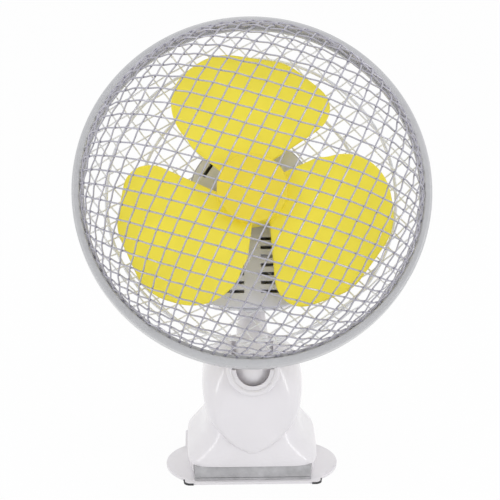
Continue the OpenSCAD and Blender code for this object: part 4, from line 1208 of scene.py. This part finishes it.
def add_object(name, data):
    """Puts a camera, a lamp or the floor into the scene."""
    made = bpy.data.objects.new(name, data)
    bpy.context.scene.collection.objects.link(made)
    return made


def look(made, place, target):
    """Puts a camera or lamp in its place and aims it."""
    made.location = place
    made.rotation_euler = (target - place).to_track_quat("-Z", "Y").to_euler()


def make_camera():
    """The camera at the photograph's viewing angle."""
    data = bpy.data.cameras.new("camera")
    data.sensor_width = SENSOR
    data.lens = FOCAL_PIXELS / PHOTO_PIXELS * SENSOR
    data.clip_start = NEAREST
    camera = add_object("camera", data)
    way = Vector((
        math.sin(VIEW_TURN) * math.cos(VIEW_RISE),
        -math.cos(VIEW_TURN) * math.cos(VIEW_RISE),
        math.sin(VIEW_RISE),
    ))
    look(camera, VIEW_TARGET + VIEW_DISTANCE * way, VIEW_TARGET)
    bpy.context.scene.camera = camera


def make_lamp(name, place, size, watts):
    """A soft rectangular lamp that faces the fan."""
    data = bpy.data.lights.new(name, "AREA")
    data.shape = "RECTANGLE"
    data.size, data.size_y = size
    data.energy = watts
    look(add_object(name, data), Vector(place), VIEW_TARGET)


def background_rays(nodes, links):
    """One for the rays that look at the background, also in gloss and through glass, and else nought."""
    rays = nodes.new("ShaderNodeLightPath")
    seen = rays.outputs["Is Camera Ray"]
    for kind in ("Is Glossy Ray", "Is Transmission Ray"):
        most = nodes.new("ShaderNodeMath")
        most.operation = "MAXIMUM"
        links.new(seen, most.inputs[0])
        links.new(rays.outputs[kind], most.inputs[1])
        seen = most.outputs[0]
    return seen


def mix_shaders(nodes, links, share, lit, seen, output):
    """Mixes what lights the object with what the background shows, into the output."""
    mix = nodes.new("ShaderNodeMixShader")
    links.new(share, mix.inputs["Fac"])
    links.new(lit.outputs[0], mix.inputs[1])
    links.new(seen.outputs[0], mix.inputs[2])
    links.new(mix.outputs[0], nodes[output].inputs["Surface"])


def make_world():
    """Even light from all round, behind a white background."""
    world = bpy.data.worlds.new("studio")
    bpy.context.scene.world = world
    world.use_nodes = True
    nodes, links = world.node_tree.nodes, world.node_tree.links
    room = nodes["Background"]
    room.inputs["Color"].default_value = ROOM_COLOUR
    room.inputs["Strength"].default_value = ROOM_STRENGTH
    white = nodes.new("ShaderNodeBackground")
    white.inputs["Color"].default_value = BACKGROUND
    mix_shaders(nodes, links, background_rays(nodes, links), room, white, "World Output")


def make_floor():
    """A pale floor that looks nearly white and keeps the fan's shadow."""
    corners = [(x * FLOOR_HALF, y * FLOOR_HALF, 0) for x, y in ((-1, -1), (1, -1), (1, 1), (-1, 1))]
    mesh = bpy.data.meshes.new("floor")
    mesh.from_pydata(corners, [], [(0, 1, 2, 3)])
    floor = add_object("floor", mesh)
    material = bpy.data.materials.new("floor")
    material.use_nodes = True
    nodes, links = material.node_tree.nodes, material.node_tree.links
    shader = nodes["Principled BSDF"]
    shader.inputs["Base Color"].default_value = FLOOR_COLOUR
    shader.inputs["Roughness"].default_value = FLOOR_ROUGHNESS
    glow = nodes.new("ShaderNodeEmission")
    glow.inputs["Color"].default_value = BACKGROUND
    share = nodes.new("ShaderNodeMath")
    share.operation = "MULTIPLY"
    share.inputs[1].default_value = FLOOR_GLOW
    links.new(background_rays(nodes, links), share.inputs[0])
    mix_shaders(nodes, links, share.outputs[0], shader, glow, "Material Output")
    floor.data.materials.append(material)


make_camera()
make_world()
make_floor()
for name, (place, size, watts) in LAMPS.items():
    make_lamp(name, place, size, watts)
bpy.context.scene.view_settings.view_transform = "Standard"
